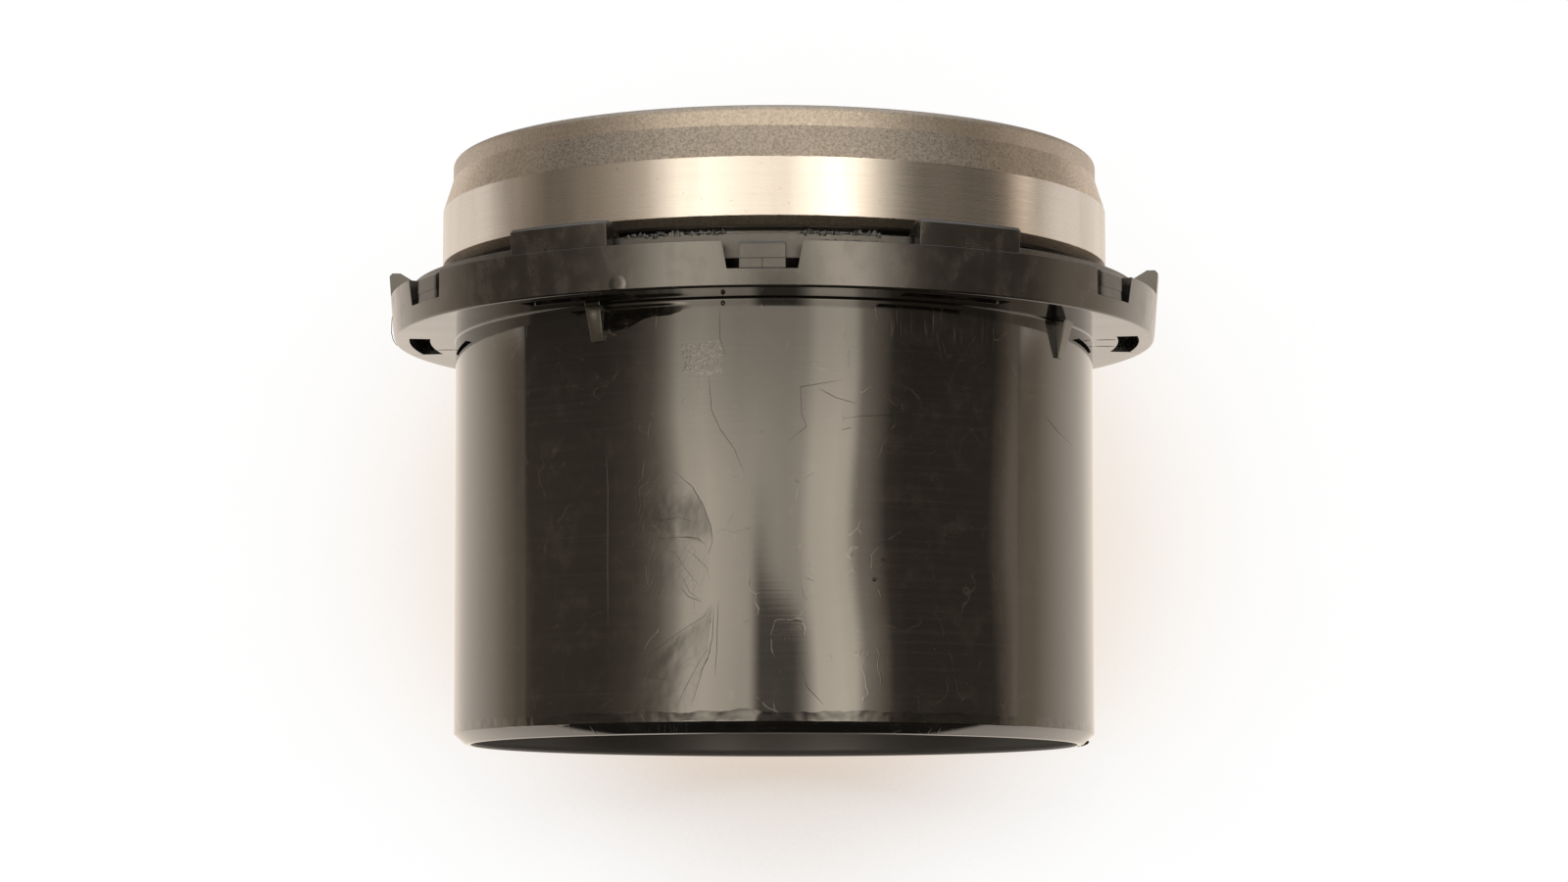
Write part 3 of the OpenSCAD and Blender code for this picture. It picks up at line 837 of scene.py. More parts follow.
def turned(points, material, corner, segments=480):
    """A piece turned from the points of its section, each a radius and a level."""
    spine = sum(radius for radius, level in points) / len(points)
    area = sum(a[0] * b[1] - b[0] * a[1] for a, b in zip(points, points[1:] + points[:1]))
    ordered = points if area < 0 else points[::-1]
    flat = [(radius - spine, -level, 0) for radius, level in ordered]
    edges = [(i, (i + 1) % len(flat)) for i in range(len(flat))]
    section = plain_mesh("section", flat, [], edges)
    return grown("Turned piece", section, {"Spine radius": spine, "Segments": segments,
                                           "Corner radius": corner, "Material": material})


def around(mesh, copies, first, material):
    """Copies of a mesh that stands at the front, turned round the axis."""
    return grown("Copies round the axis", mesh, {"Count": copies, "First angle": first, "Material": material})


def arc_points(x, y, radius, start, end, steps=8):
    """Points of an arc from one angle to another, in degrees."""
    turns = [math.radians(start + (end - start) * i / steps) for i in range(steps + 1)]
    return [(x + radius * math.cos(t), y + radius * math.sin(t)) for t in turns]


def block(points_low, points_high):
    """A closed block between two outlines of as many points."""
    n = len(points_low)
    sides = [(i, (i + 1) % n, n + (i + 1) % n, n + i) for i in range(n)]
    mesh = plain_mesh("block", list(points_low) + list(points_high), sides + [range(n), range(n, 2 * n)])
    return outward(mesh)


def outward(mesh):
    """The mesh with its faces turned outwards."""
    shape = bmesh.new()
    shape.from_mesh(mesh)
    bmesh.ops.recalc_face_normals(shape, faces=shape.faces)
    shape.to_mesh(mesh)
    shape.free()
    return mesh


LOWER = ["mouth", "land", "chamfer", "root_0", "root_1", "root_2", "root_3", "root_4", "slot_in_low",
         "slot_out_low", "edge_0", "edge_1", "edge_2", "edge_3", "edge_4", "rim_foot"]
HOOK = ["hook_side", "hook_top_out", "hook_top_in", "barb_top", "barb_low", "barb_root"]
UPPER = ["rim_in_foot", "slot_out_top", "slot_in_top", "hole_top", "hole_low", "bore_top", "bore_low"]
SECTIONS = {"hook": LOWER + ["rim_out"] + HOOK + ["rim_in"] + UPPER,
            "rim": LOWER + ["rim_out", "rim_in"] + UPPER,
            "notch": LOWER + UPPER}
HOOK_END = ["rim_out"] + HOOK + ["rim_in"]
CHEEK = ["rim_foot", "rim_out", "rim_in", "rim_in_foot"]
SLOT_END = ["slot_in_low", "slot_out_low", "slot_out_top", "slot_in_top"]
SLOT_MOUTHS = [("slot_in_low", "slot_out_low"), ("slot_out_top", "slot_in_top")]
SLOT_WALLS = [("slot_out_low", "slot_out_top"), ("slot_in_top", "slot_in_low")]


def sleeve_outline(s):
    """Named points of the sleeve's section, each a radius and a level."""
    def rim_r(level):
        return s.flange_r + s.rim_lean * (level - s.flange_z)
    hook_out = rim_r(s.hook_z) - s.hook_edge
    outline = {
        "mouth": (s.bore_r + s.mouth_chamfer, 0), "land": (s.end_r - s.end_chamfer, s.land_rise),
        "chamfer": (s.end_r, s.end_chamfer),
        "slot_in_low": (s.slot_in_r, s.flange_z), "slot_out_low": (s.slot_out_r, s.flange_z),
        "rim_foot": (rim_r(s.floor_z), s.floor_z), "rim_out": (rim_r(s.rim_z), s.rim_z),
        "hook_side": (rim_r(s.hook_z - s.hook_edge), s.hook_z - s.hook_edge),
        "hook_top_out": (hook_out, s.hook_z), "hook_top_in": (hook_out - s.hook_flat, s.hook_z),
        "barb_top": (s.barb_r, s.barb_z + s.barb_land), "barb_low": (s.barb_r, s.barb_z),
        "barb_root": (s.rim_in_r, s.barb_z), "rim_in": (s.rim_in_r, s.rim_z),
        "rim_in_foot": (s.rim_in_r, s.floor_z), "slot_out_top": (s.slot_out_r, s.floor_z),
        "slot_in_top": (s.slot_in_r, s.floor_z), "hole_top": (s.hole_r, s.floor_z),
        "hole_low": (s.hole_r, s.flange_z), "bore_top": (s.bore_r, s.flange_z),
        "bore_low": (s.bore_r, s.mouth_chamfer)}
    fillet, edge = s.root_fillet, s.flange_edge
    arcs = {"root": arc_points(s.outer_r + fillet, s.flange_z - fillet, fillet, 180, 90, 4),
            "edge": arc_points(s.flange_r - edge, s.flange_z + edge, edge, -90, 0, 4)}
    outline.update({f"{name}_{i}": point for name, arc in arcs.items() for i, point in enumerate(arc)})
    return outline


def sleeve_stations(s, finest=0.75):
    """Angles round the sleeve, each with the side of a notch's cheek, and the kind of cell after each."""
    pitch = 360 / s.hooks
    hook, slot = math.degrees(s.hook_span) / 2, math.degrees(s.slot_span) / 2
    cheek = math.degrees(math.asin(s.notch_w / 2 / s.rim_in_r))
    middle = pitch / 2
    breaks = [-cheek, cheek, middle - slot, middle - hook, middle + hook, middle + slot, pitch - cheek]
    kinds = ["notch", "rim", "rim", "hook", "rim", "rim"]
    slotted = [False, False, True, True, True, False]
    sides = [-1, 1, 0, 0, 0, 0]
    stations = []
    for period in range(s.hooks):
        for i, kind in enumerate(kinds):
            parts = math.ceil((breaks[i + 1] - breaks[i]) / finest)
            for part in range(parts):
                turn = breaks[i] + (breaks[i + 1] - breaks[i]) * part / parts
                side = sides[i] if part == 0 else 0
                stations.append((period * pitch, turn, side, kind, slotted[i]))
    return stations


def sleeve_mesh(s):
    """The sleeve, flange, rim and hooks as one grid round the axis, open at the notches and core slots."""
    outline = sleeve_outline(s)
    stations = sleeve_stations(s)
    shape = bmesh.new()
    made = {}

    def corner(name, index):
        key = (name, index % len(stations))
        if key not in made:
            base, turn, side, kind, slotted = stations[key[1]]
            radius, level = outline[name]
            if side and name in CHEEK:
                rise = (level - s.floor_z) / (s.rim_z - s.floor_z)
                turn = side * math.degrees(math.asin((s.notch_w / 2 + s.notch_flare * rise) / radius))
            made[key] = shape.verts.new(polar(radius, base + turn, level))
        return made[key]

    for index, (base, turn, side, kind, slotted) in enumerate(stations):
        names = SECTIONS[kind]
        pairs = list(zip(names, names[1:] + names[:1]))
        if slotted:
            pairs = [pair for pair in pairs if pair not in SLOT_MOUTHS] + SLOT_WALLS
        for a, b in pairs:
            shape.faces.new([corner(a, index), corner(b, index), corner(b, index + 1), corner(a, index + 1)])
        before_kind, before_slotted = stations[index - 1][3:]
        ends = []
        if "hook" in (kind, before_kind) and kind != before_kind:
            ends.append(HOOK_END)
        if "notch" in (kind, before_kind) and kind != before_kind:
            ends.append(CHEEK)
        if slotted != before_slotted:
            ends.append(SLOT_END)
        for end in ends:
            shape.faces.new([corner(name, index) for name in end])
    bmesh.ops.recalc_face_normals(shape, faces=shape.faces)
    mesh = bpy.data.meshes.new("sleeve_grid")
    shape.to_mesh(mesh)
    shape.free()
    return mesh


def gusset_mesh(s):
    """One gusset at the front, between the sleeve and the flange."""
    root = (s.bore_r + s.outer_r) / 2
    inside = (s.flange_z + s.floor_z) / 2
    low = s.flange_z - s.gusset_h
    side = [(root, low), (s.outer_r + s.gusset_tip, low), (s.outer_r + s.gusset_reach, inside),
            (root, inside)]
    halves = [s.gusset_w / 2 - s.gusset_draft * (level == low) for radius, level in side]
    return block([(-half, -radius, level) for half, (radius, level) in zip(halves, side)],
                 [(half, -radius, level) for half, (radius, level) in zip(halves, side)])


def lug_mesh(c):
    """One lug of the carrier at the front, with a chamfered top edge."""
    def face_y(x, radius):
        return -math.sqrt(radius * radius - x * x)
    half = c.lug_w / 2
    steps = 8
    rows = [half * (2 * i / steps - 1) for i in range(steps + 1)]
    back = c.lug_out_r - c.lug_step
    section = [(c.lug_in_r, c.lug_low_z), (back, c.lug_low_z), (back, c.lug_line_z),
               (c.lug_out_r, c.lug_line_z), (c.lug_out_r, c.seat_z - c.lug_edge),
               (c.lug_out_r - c.lug_edge, c.seat_z), (c.lug_in_r, c.seat_z)]
    n = len(section)
    points = [(x, face_y(x, radius), level) for x in rows for radius, level in section]
    faces = [(a * n + i, a * n + (i + 1) % n, (a + 1) * n + (i + 1) % n, (a + 1) * n + i)
             for a in range(steps) for i in range(n)]
    ends = [tuple(range(n)), tuple(range(steps * n, steps * n + n))]
    return outward(plain_mesh("lug", points, faces + ends))


# Stops of the marks on the wall, each an angle in degrees from the front and a level in millimetres
SCRATCHES = [
    [(-9.3, 38.9), (-8.8, 34.8), (-7.3, 32.7), (-5.0, 30.6), (-3.2, 27.8)],
    [(-7.5, 45.9), (-7.4, 42.6), (-6.4, 40.7)],
    [(-7.6, 14.3), (-7.8, 11.3), (-7.9, 8.7), (-8.2, 6.1)],
    [(-15.2, 28.3), (-12.1, 26.6), (-10.3, 24.7), (-8.9, 22.3), (-8.6, 20.6), (-9.4, 19.2)],
    [(13.3, 38.2), (6.0, 37.3), (6.2, 34.4), (7.0, 33.0), (3.9, 31.4)],
    [(9.0, 37.2), (11.9, 36.2), (15.6, 35.6)],
    [(12.8, 33.9), (16.6, 34.3), (21.6, 34.5), (28.0, 35.2), (32.8, 36.1)],
    [(12.8, 32.7), (14.6, 33.0)],
    [(18.1, 20.3), (20.7, 20.9), (24.0, 22.2)],
    [(55.9, 36.0), (60.7, 34.5), (66.5, 33.4)],
    [(5.7, 7.9), (7.1, 4.9), (9.9, 3.0)],
    [(-13.9, 15.6), (-12.7, 14.7), (-10.4, 14.1)],
    [(-8.4, 13.5), (-8.6, 10.3), (-9.4, 8.0), (-11.0, 6.1)],
    [(-17.9, 23.0), (-15.2, 23.2)],
    [(-14.3, 21.1), (-11.1, 21.0), (-9.8, 20.2)],
]
LAP_LINES = [
    [(-17.4, 20.1), (-15.0, 19.4), (-13.3, 17.8), (-11.9, 16.6), (-10.6, 15.8)],
    [(-19.3, 21.0), (-15.5, 21.1), (-12.8, 21.2), (-10.1, 20.5), (-9.4, 20.7)],
    [(-13.8, 16.9), (-12.5, 15.2), (-10.6, 14.2)],
    [(-13.3, 19.9), (-11.3, 18.9), (-9.6, 17.8), (-9.1, 16.5)],
    [(-19.9, 23.7), (-17.7, 23.0), (-14.4, 23.3), (-10.7, 22.5)],
    [(-20.9, 8.0), (-18.2, 9.1), (-14.3, 10.9), (-10.1, 12.5), (-8.6, 13.8)],
    [(-14.9, 2.6), (-13.2, 4.9), (-11.2, 7.2), (-9.1, 9.5)],
    [(-12.2, 2.9), (-11.2, 4.9), (-10.1, 7.2), (-8.7, 9.1)],
    [(-22.6, 7.0), (-18.7, 6.0), (-15.4, 5.6)],
    [(-33.2, 29.5), (-31.8, 30.6), (-27.7, 30.6), (-27.4, 26.6), (-27.4, 18.1), (-27.3, 11.6)],
]
NODULES = [(20.0, 18.8), (18.5, 16.6), (-6.9, 46.5)]

# Mould lines under the flange: an angle, and the radius where each starts and ends
MOULD_LINES = [(84.6, 37.8, 40.3), (92.5, 37.8, 40.3), (-94.0, 37.8, 40.3)]

# Spans of flash along an edge, each from one angle to another
UPSTAND_FLASH = [(-20.5, -5.6), (5.6, 17.0)]
RIM_FLASH = [(8.0, 17.0)]

# Stops of the marks off the wall, each a radius, an angle and a level
FILM = [(44.9, -88, 51.5), (45.03, -87.6, 50.0), (45.05, -87.4, 48.5), (44.85, -87.8, 47.6),
        (44.4, -88.5, 47.0)]
SLIVER = [(35.6, -97.0, 0.16), (35.7, -99.0, 0.14), (35.6, -101.0, 0.16)]
BURR = [(36.5, 96.5, 0.56), (36.4, 98.2, 0.54), (36.2, 99.8, 0.56)]

# Sizes of the marks in millimetres: half the width of each thread, and the least and most of the rest
SCRATCH_HALF, LAP_LINE_HALF, MOULD_LINE_HALF, FILM_HALF, SLIVER_HALF = 0.04, 0.024, 0.045, 0.05, 0.12
NODULE_SIZES = Vector((0.16, 0.16, 0.16)), Vector((0.24, 0.24, 0.3))
BURR_SIZES = Vector((0.45, 0.45, 0.35)), Vector((0.6, 0.6, 0.42))
LUMP_TEAR = 0.8
CRUMB_SIZES = Vector((0.25, 0.25, 0.3)), Vector((0.9, 0.9, 1.3))
CRUMB_SPACING, RIM_CRUMB, UPSTAND_CRUMB = 0.3, 0.22, 0.5
RIM_FLASH_R, UPSTAND_FLASH_INSET = 44.7, 0.1


def eased(stops, parts=8):
    """Points along a path, a few between each two stops."""
    between = [[a + (b - a) * i / parts for a, b in zip(start, end)]
               for start, end in zip(stops, stops[1:]) for i in range(parts)]
    return between + [list(stops[-1])]


def path_mesh(paths):
    """Open chains of edges, one for each path. A stop has a radius, an angle and a level in millimetres."""
    points, edges = [], []
    for path in paths:
        first = len(points)
        points += [polar(radius * MM, turn, level * MM) for radius, turn, level in path]
        edges += [(i, i + 1) for i in range(first, len(points) - 1)]
    return plain_mesh("paths", points, [], edges)


def flash_mesh(spans, radius, level, reach, plastic):
    """Crumbs of flash along spans of an edge, each from one angle to another."""
    paths = [eased([(radius, start, level), (radius, end, level)], 40) for start, end in spans]
    least, most = (size * reach * MM for size in CRUMB_SIZES)
    return grown("Moulding flash", path_mesh(paths), {"Spacing": CRUMB_SPACING * MM, "Least": least,
                                                      "Most": most, "Material": plastic})


def moulding_marks(s, plastic):
    """Scratches, mould lines, flash and burrs of the moulding."""
    def on_wall(turn, level):
        radius = s.end_r + (s.outer_r - s.end_r) * level * MM / s.flange_z
        return radius / MM, turn, level
    below, rim_top = s.flange_z / MM, s.rim_z / MM
    scratches, laps = ([eased([on_wall(*stop) for stop in stops]) for stops in table]
                       for table in (SCRATCHES, LAP_LINES))
    lines = [eased([(inner, turn, below), (outer, turn, below)]) for turn, inner, outer in MOULD_LINES]
    threads = [(scratches, SCRATCH_HALF), (laps, LAP_LINE_HALF), (lines, MOULD_LINE_HALF),
               ([eased(FILM)], FILM_HALF), ([eased(SLIVER)], SLIVER_HALF)]
    marks = [grown("Raised threads", path_mesh(paths), {"Thickness": half * MM, "Material": plastic})
             for paths, half in threads]
    marks.append(flash_mesh(RIM_FLASH, RIM_FLASH_R, rim_top, RIM_CRUMB, plastic))
    nodules = [on_wall(*spot) for spot in NODULES]
    for spots, (least, most) in ((nodules, NODULE_SIZES), (BURR, BURR_SIZES)):
        marks.append(grown("Torn lumps", path_mesh([spots]), {"Least": least * MM, "Most": most * MM,
                                                              "Tear": LUMP_TEAR, "Material": plastic}))
    return marks


class BEARING_OT_guide_sleeve(bpy.types.Operator):
    """Build the guide sleeve with its flange, rim, snap hooks and gussets"""

    bl_idname = "bearing.guide_sleeve"
    bl_label = "Guide sleeve"

    def execute(self, context):
        size = context.scene.bearing_sleeve
        plastic = sleeve_finish(context.scene.bearing_colours, size)
        tube = rounded(sleeve_mesh(size), size.corner)
        ribs = around(rounded(gusset_mesh(size), size.corner), size.gussets, size.gusset_start, plastic)
        finished("guide_sleeve_moulding", [tube, ribs, *moulding_marks(size, plastic)], plastic, "sleeve",
                 ["guide_sleeve"])
        return {"FINISHED"}


class BEARING_OT_carrier(bpy.types.Operator):
    """Build the carrier that floats between the hooks, with a lug for each notch"""

    bl_idname = "bearing.carrier"
    bl_label = "Floating carrier"

    def execute(self, context):
        c = context.scene.bearing_carrier
        plastic = carrier_finish(context.scene.bearing_colours, context.scene.bearing_sleeve)
        lip_out = c.lip_in_r + c.lip_w
        upstand_in = c.outer_r - c.upstand_w
        disc = turned([(c.hole_r, c.low_z), (c.outer_r, c.low_z), (c.outer_r, c.upstand_z),
                       (upstand_in, c.upstand_z), (upstand_in, c.seat_z), (lip_out, c.seat_z),
                       (lip_out, c.lip_z), (c.lip_in_r, c.lip_z), (c.lip_in_r, c.seat_z),
                       (c.hole_r, c.seat_z)], plastic, c.corner)
        lugs = around(rounded(lug_mesh(c), c.corner), context.scene.bearing_sleeve.hooks, 0.0, plastic)
        edge_r, edge_z = c.outer_r / MM - UPSTAND_FLASH_INSET, c.upstand_z / MM - UPSTAND_FLASH_INSET
        flash = flash_mesh(UPSTAND_FLASH, edge_r, edge_z, UPSTAND_CRUMB, plastic)
        finished("bearing_carrier_moulding", [disc, lugs, flash], plastic, "carrier",
                 ["bearing_carrier"])
        return {"FINISHED"}


RACE_STEPS = 16


def outer_race(r):
    """Quarter of the outer raceway's groove, from the web to the skirt."""
    groove = arc_points(r.pitch_r, r.ball_z, r.race_r, 90, 0, RACE_STEPS)
    end_z = r.ball_z + math.sqrt(r.race_r ** 2 - (r.skirt_in_r - r.pitch_r) ** 2)
    return [(r.pitch_r, r.web_z), *[p for p in groove if p[0] < r.skirt_in_r], (r.skirt_in_r, end_z)]


class BEARING_OT_outer_ring(bpy.types.Operator):
    """Turn the rotating ring with its ground band, blasted taper and contact face"""

    bl_idname = "bearing.outer_ring"
    bl_label = "Outer ring"

    def execute(self, context):
        r = context.scene.bearing_rings
        steel = ring_finish(context.scene.bearing_colours, r)
        edge = r.face_edge
        section = [(r.skirt_in_r, r.foot_z), (r.foot_r, r.foot_z), (r.band_r, r.band_z),
                   (r.band_r, r.band_z + r.band_h), (r.neck_r, r.neck_z)]
        section += arc_points(r.neck_r - edge, r.face_z - edge, edge, 0, 90)
        section += arc_points(r.web_in_r + edge, r.face_z - edge, edge, 90, 180)
        section += [(r.web_in_r, r.web_z)]
        section += outer_race(r)
        finished("outer_ring_turned", [turned(section, steel, r.corner)], steel, "rotor",
                 ["outer_ring"])
        return {"FINISHED"}


class BEARING_OT_inner_ring(bpy.types.Operator):
    """Turn the stationary ring that stands on the carrier"""

    bl_idname = "bearing.inner_ring"
    bl_label = "Inner ring"

    def execute(self, context):
        r = context.scene.bearing_rings
        steel = ground_finish("inner_ring_steel_ground", context.scene.bearing_colours)
        groove = [p for p in arc_points(r.pitch_r, r.ball_z, r.race_r, 270, 180, RACE_STEPS)
                  if p[0] > r.inner_out_r and p[1] > r.inner_base_z]
        section = [(r.inner_bore_r, r.inner_low_z), (r.inner_base_r, r.inner_low_z),
                   (r.inner_base_r, r.inner_base_z), (r.pitch_r, r.inner_base_z)]
        section += groove
        section += [(r.inner_out_r, groove[-1][1] + r.corner), (r.inner_out_r, r.inner_top_z),
                    (r.inner_bore_r, r.inner_top_z)]
        finished("inner_ring_turned", [turned(section, steel, 2 * r.corner)], steel, "carrier",
                 ["inner_ring"])
        return {"FINISHED"}


# Seals: the lip's width and heights as shares of the seal's, and its waist as a share of the lip's width
SEAL_LIP_WIDTH, SEAL_LIP_WAIST = 0.4, 0.6
SEAL_WAIST_HEIGHT, SEAL_TIP_HEIGHT = 0.55, 0.4
SEAL_CORNER, SEAL_SEGMENTS = 0.06 * MM, 240


class BEARING_OT_seals(bpy.types.Operator):
    """Turn the two rubber seals of the outer ring, each with a thin lip"""

    bl_idname = "bearing.seals"
    bl_label = "Seals"

    def execute(self, context):
        rubber = rubber_finish(context.scene.bearing_colours)
        for node in ("top_seal", "bottom_seal"):
            low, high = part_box(node)
            inside, outside = self.radii(node)
            thick = high.z - low.z
            lip = SEAL_LIP_WIDTH * (outside - inside)
            section = [(inside, low.z), (outside, low.z), (outside, high.z), (inside + lip, high.z),
                       (inside + SEAL_LIP_WAIST * lip, low.z + SEAL_WAIST_HEIGHT * thick),
                       (inside, low.z + SEAL_TIP_HEIGHT * thick)]
            finished(node + "_moulded", [turned(section, rubber, SEAL_CORNER, SEAL_SEGMENTS)], rubber,
                     "rotor", [node])
        return {"FINISHED"}

    @staticmethod
    def radii(node):
        """Inner and outer radius of a seal's CAD node."""
        spots = [math.hypot(vertex.co.x, vertex.co.y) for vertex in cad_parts[node].data.vertices]
        return min(spots), max(spots)


class BEARING_OT_inner_parts(bpy.types.Operator):
    """Give the balls, the cage and the wave spring their finishes"""

    bl_idname = "bearing.inner_parts"
    bl_label = "Balls, cage and spring"

    def execute(self, context):
        tints = context.scene.bearing_colours
        finishes = {"ball_cage": cage_finish(tints), "wave_spring": spring_finish(tints)}
        chrome = ball_finish(tints)
        for name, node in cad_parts.items():
            if name.startswith("ball_") or name in finishes:
                node.data.materials.clear()
                node.data.materials.append(finishes.get(name, chrome))
        return {"FINISHED"}


def aimed(made, spot, target):
    """Puts a lamp or camera at a spot, turned to its target."""
    made.location = spot
    made.rotation_euler = (target - spot).to_track_quat("-Z", "Y").to_euler()


# Light bank, in degrees from the camera's azimuth and millimetres: a panel is an angle, a level and a gloom
PANELS = [(-100, 0.042, 1), (-62, 0.042, 1), (-50, 0.07, 0.8), (-42, 0.15, 0.4), (-37, 0.34, 0.2),
          (-32.5, 0.62, 0), (-24, 0.7, 0), (-12, 0.53, 0), (4, 0.55, 0), (9, 0.62, 0), (13, 0.9, 0),
          (21, 1.0, 0), (26, 0.88, 0), (29.5, 0.38, 0.3), (35, 0.22, 0.4), (40, 0.06, 0.8), (46, 0.04, 1),
          (80, 0.04, 1), (86, 0.12, 0.9), (90, 0.2, 0.8), (110, 0.22, 0.7)]
BANK_FIRST, BANK_LAST = PANELS[0][0], PANELS[-1][0]
BANK_PARTS = 64
BANK_MIDDLE = (-10.0, 6.0)
LEFT_BEND_Z, LEFT_BEND = (36.0, 92.0, 9.0), 2.4
RIGHT_BENDS = [((34.0, 68.0), (1.4, -1.6)), ((70.0, 122.0), (0.0, 3.8))]
LEFT_GAINS = [((78.0, 128.0), (1.42, 0.8))]
RIGHT_GAINS = [((85.0, 128.0), (1.08, 0.76)), ((24.0, 60.0), (0.1, 0.0))]
HIGH_Z, HIGH_GAIN = (132.0, 150.0), 0.22
WINGS = [((-72.0, -44.0, 5.0), 1.6), ((54.0, 63.0, 3.0), 1.2)]
LEFT_END, LEFT_END_GAIN = (-97.0, -77.0), 2.9
RIGHT_END, RIGHT_END_GAIN = (86.0, 91.0), 2.6
WINDOW_FOOT_Z, WINDOW_TOP_Z = (-220.0, -20.0), (280.0, 380.0)
GAP_LEFT, GAP_RIGHT_SOFTNESS = (-9.3, -4.1), (-4.2, 5.0)
GAP_RIGHT_Z, GAP_RIGHT = (34.0, 62.0), (10.9, -2.4)
GAP_FADE_Z, GAP_DARKNESS = (44.0, 92.0), 0.83
OPEN_END_Z, OPEN_END, OPEN_END_SOFTNESS = (46.0, 122.0), (-93.8, -100.5), (-2.0, 3.0)
LEAST_GAIN, ROOM_LEVEL, FOOT_LEVEL = 0.05, 0.4, 0.05

# Table and floor: distances in metres, but sides and levels in their materials in millimetres
TABLE_LEFT, TABLE_RIGHT, TABLE_LOW, TABLE_TOP = -0.64, 0.94, -0.35, 0.42
TABLE_OFF_FLANGE, TABLE_OFF_END = 0.6 * MM, 0.3 * MM
TABLE_SHADE_REACH, TABLE_SHADE, TABLE_SHADE_Z = 0.09, (0.2, 0.86), (-6.0, 8.0)
TABLE_COVER = (0.8, 0.42)
# A mirror image of the table is on the wall or on the ring by its level, less a share of its side
MIRROR_SLOPE, WALL_MIRROR_TOP = 0.117, (44.0, 54.0)
NEAR_SIDE, NEAR_GLARE = (40.0, 62.0), (1.05, 1.38)
FAR_SIDE, FAR_LEFT_X, FAR_LEFT, FAR_ON_RING = (70.0, 260.0), (-390.0, -200.0), (0.44, 0.6), 1.3
GLARE_LEVELS = [((-94.0, -80.0), (0.03, 1.0)), ((48.0, 72.0), (1.0, 0.86)), ((90.0, 130.0), (1.0, 0.3))]
# Painted shadow of the object on the table, seen in reflections: its sides, its levels and how dark it is
DARK_X, DARK_Z, DARKNESS = (-12.0, 18.0, 4.0), (-76.0, -12.0, 5.0), 0.78
BROWN_SIDE = (60.0, 240.0)
FLOOR_REACH, FLOOR_DROP = 1.2, 0.02 * MM
FLOOR_SHADE_REACH, FLOOR_SHADE, FLOOR_FADE = 0.07, (0.2, 0.97), (90.0, 420.0)
LAMP_WIDTH, LAMP_SPOT, LAMP_TARGET = 0.5, Vector((-0.2, -0.1, 0.7)), Vector((0, 0, 0.03))
CAMERA_NEAREST = 0.01
WHITE = (1.0, 1.0, 1.0)


def panel_colour(tints, level, dim):
    """Colour of a panel of the bank, between the bright light and the room's gloom."""
    return tuple(level * (bright + (dark - bright) * dim) for bright, dark in zip(tints.light, tints.gloom))


def stepped(f, value, steps):
    """Sum of smooth changes, each over its own stretch of the value."""
    return sum(f.step(value, *stretch, *ends) for stretch, ends in steps)


def panel_bend(f, left, z):
    """Angle by which the panels' edges bend from level to level."""
    bend_left = f.within(z, *LEFT_BEND_Z) * LEFT_BEND
    return bend_left * left + stepped(f, z, RIGHT_BENDS) * (1.0 - left)


def panel_gain(f, left, turn, z):
    """Brightness of the bank from level to level, with bright wings high up at the sides."""
    gain = stepped(f, z, LEFT_GAINS) * left + stepped(f, z, RIGHT_GAINS) * (1.0 - left)
    high = f.step(z, *HIGH_Z)
    wings = sum(f.within(turn, *span) * level for span, level in WINGS)
    ends = f.fall(turn, *LEFT_END) * LEFT_END_GAIN + f.step(turn, *RIGHT_END) * RIGHT_END_GAIN
    return gain + high * HIGH_GAIN + high * (wings + ends)


def camera_gap(f, turn, z):
    """Dark gap between the panels, where the camera stands."""
    right = f.step(z, *GAP_RIGHT_Z, *GAP_RIGHT) - turn
    return (f.step(turn, *GAP_LEFT) * f.step(right, *GAP_RIGHT_SOFTNESS)
            * f.step(z, *GAP_FADE_Z, GAP_DARKNESS, 0.0))


def bank_material(stage, tints):
    """Light bank: bright panels round the camera, which leaves a dark gap, fading to the brown room. Its
    edges bend a little from level to level, and its left end opens to the room."""
    f = Finish("light_bank")
    turn, radius, z = f.round_place()
    turn = turn - math.degrees(stage.camera_turn)
    span = BANK_LAST - BANK_FIRST
    stops = [((place - BANK_FIRST) / span, panel_colour(tints, level, dim)) for place, level, dim in PANELS]
    left = f.fall(turn, *BANK_MIDDLE)
    along = (turn - panel_bend(f, left, z) - BANK_FIRST) / span
    colours = f.node("ShaderNodeValToRGB", {"stops": stops}, {0: along})
    window = f.step(z, *WINDOW_FOOT_Z) * f.fall(z, *WINDOW_TOP_Z)
    gain = panel_gain(f, left, turn, z) * window * (1.0 - camera_gap(f, turn, z))
    opened = f.fall(turn - f.step(z, *OPEN_END_Z, *OPEN_END), *OPEN_END_SOFTNESS)
    lit = f.glow(colours, gain.greater(LEAST_GAIN) * stage.bank_level)
    room = f.glow((*tints.gloom, 1), ROOM_LEVEL)
    return f.end(f.node("ShaderNodeMixShader", None, {0: opened, 1: lit, 2: room}))


def foot_material(tints):
    """Dark foot of the light bank."""
    f = Finish("dark_foot")
    return f.end(f.glow((*tints.gloom, 1), FOOT_LEVEL))


def one_sided(f, shader):
    """The shader, open from behind."""
    behind = f.node("ShaderNodeNewGeometry", out="Backfacing")
    return f.node("ShaderNodeMixShader", None, {0: behind, 1: shader, 2: f.node("ShaderNodeBsdfTransparent")})


def table_glare(f, x, z, low):
    """Brightness of the table in reflections: it changes to the sides and fades up and down, with a dark
    place in the middle, a painted shadow of the object."""
    far = low * f.step(x, *FAR_LEFT_X, *FAR_LEFT) + (1.0 - low) * FAR_ON_RING
    glare = f.step(x.size(), *NEAR_SIDE, *NEAR_GLARE) * f.step(x.size(), *FAR_SIDE, 1.0, far)
    for stretch, ends in GLARE_LEVELS:
        glare = glare * f.step(z, *stretch, *ends)
    return glare * (1.0 - f.within(x, *DARK_X) * f.within(z, *DARK_Z) * DARKNESS)


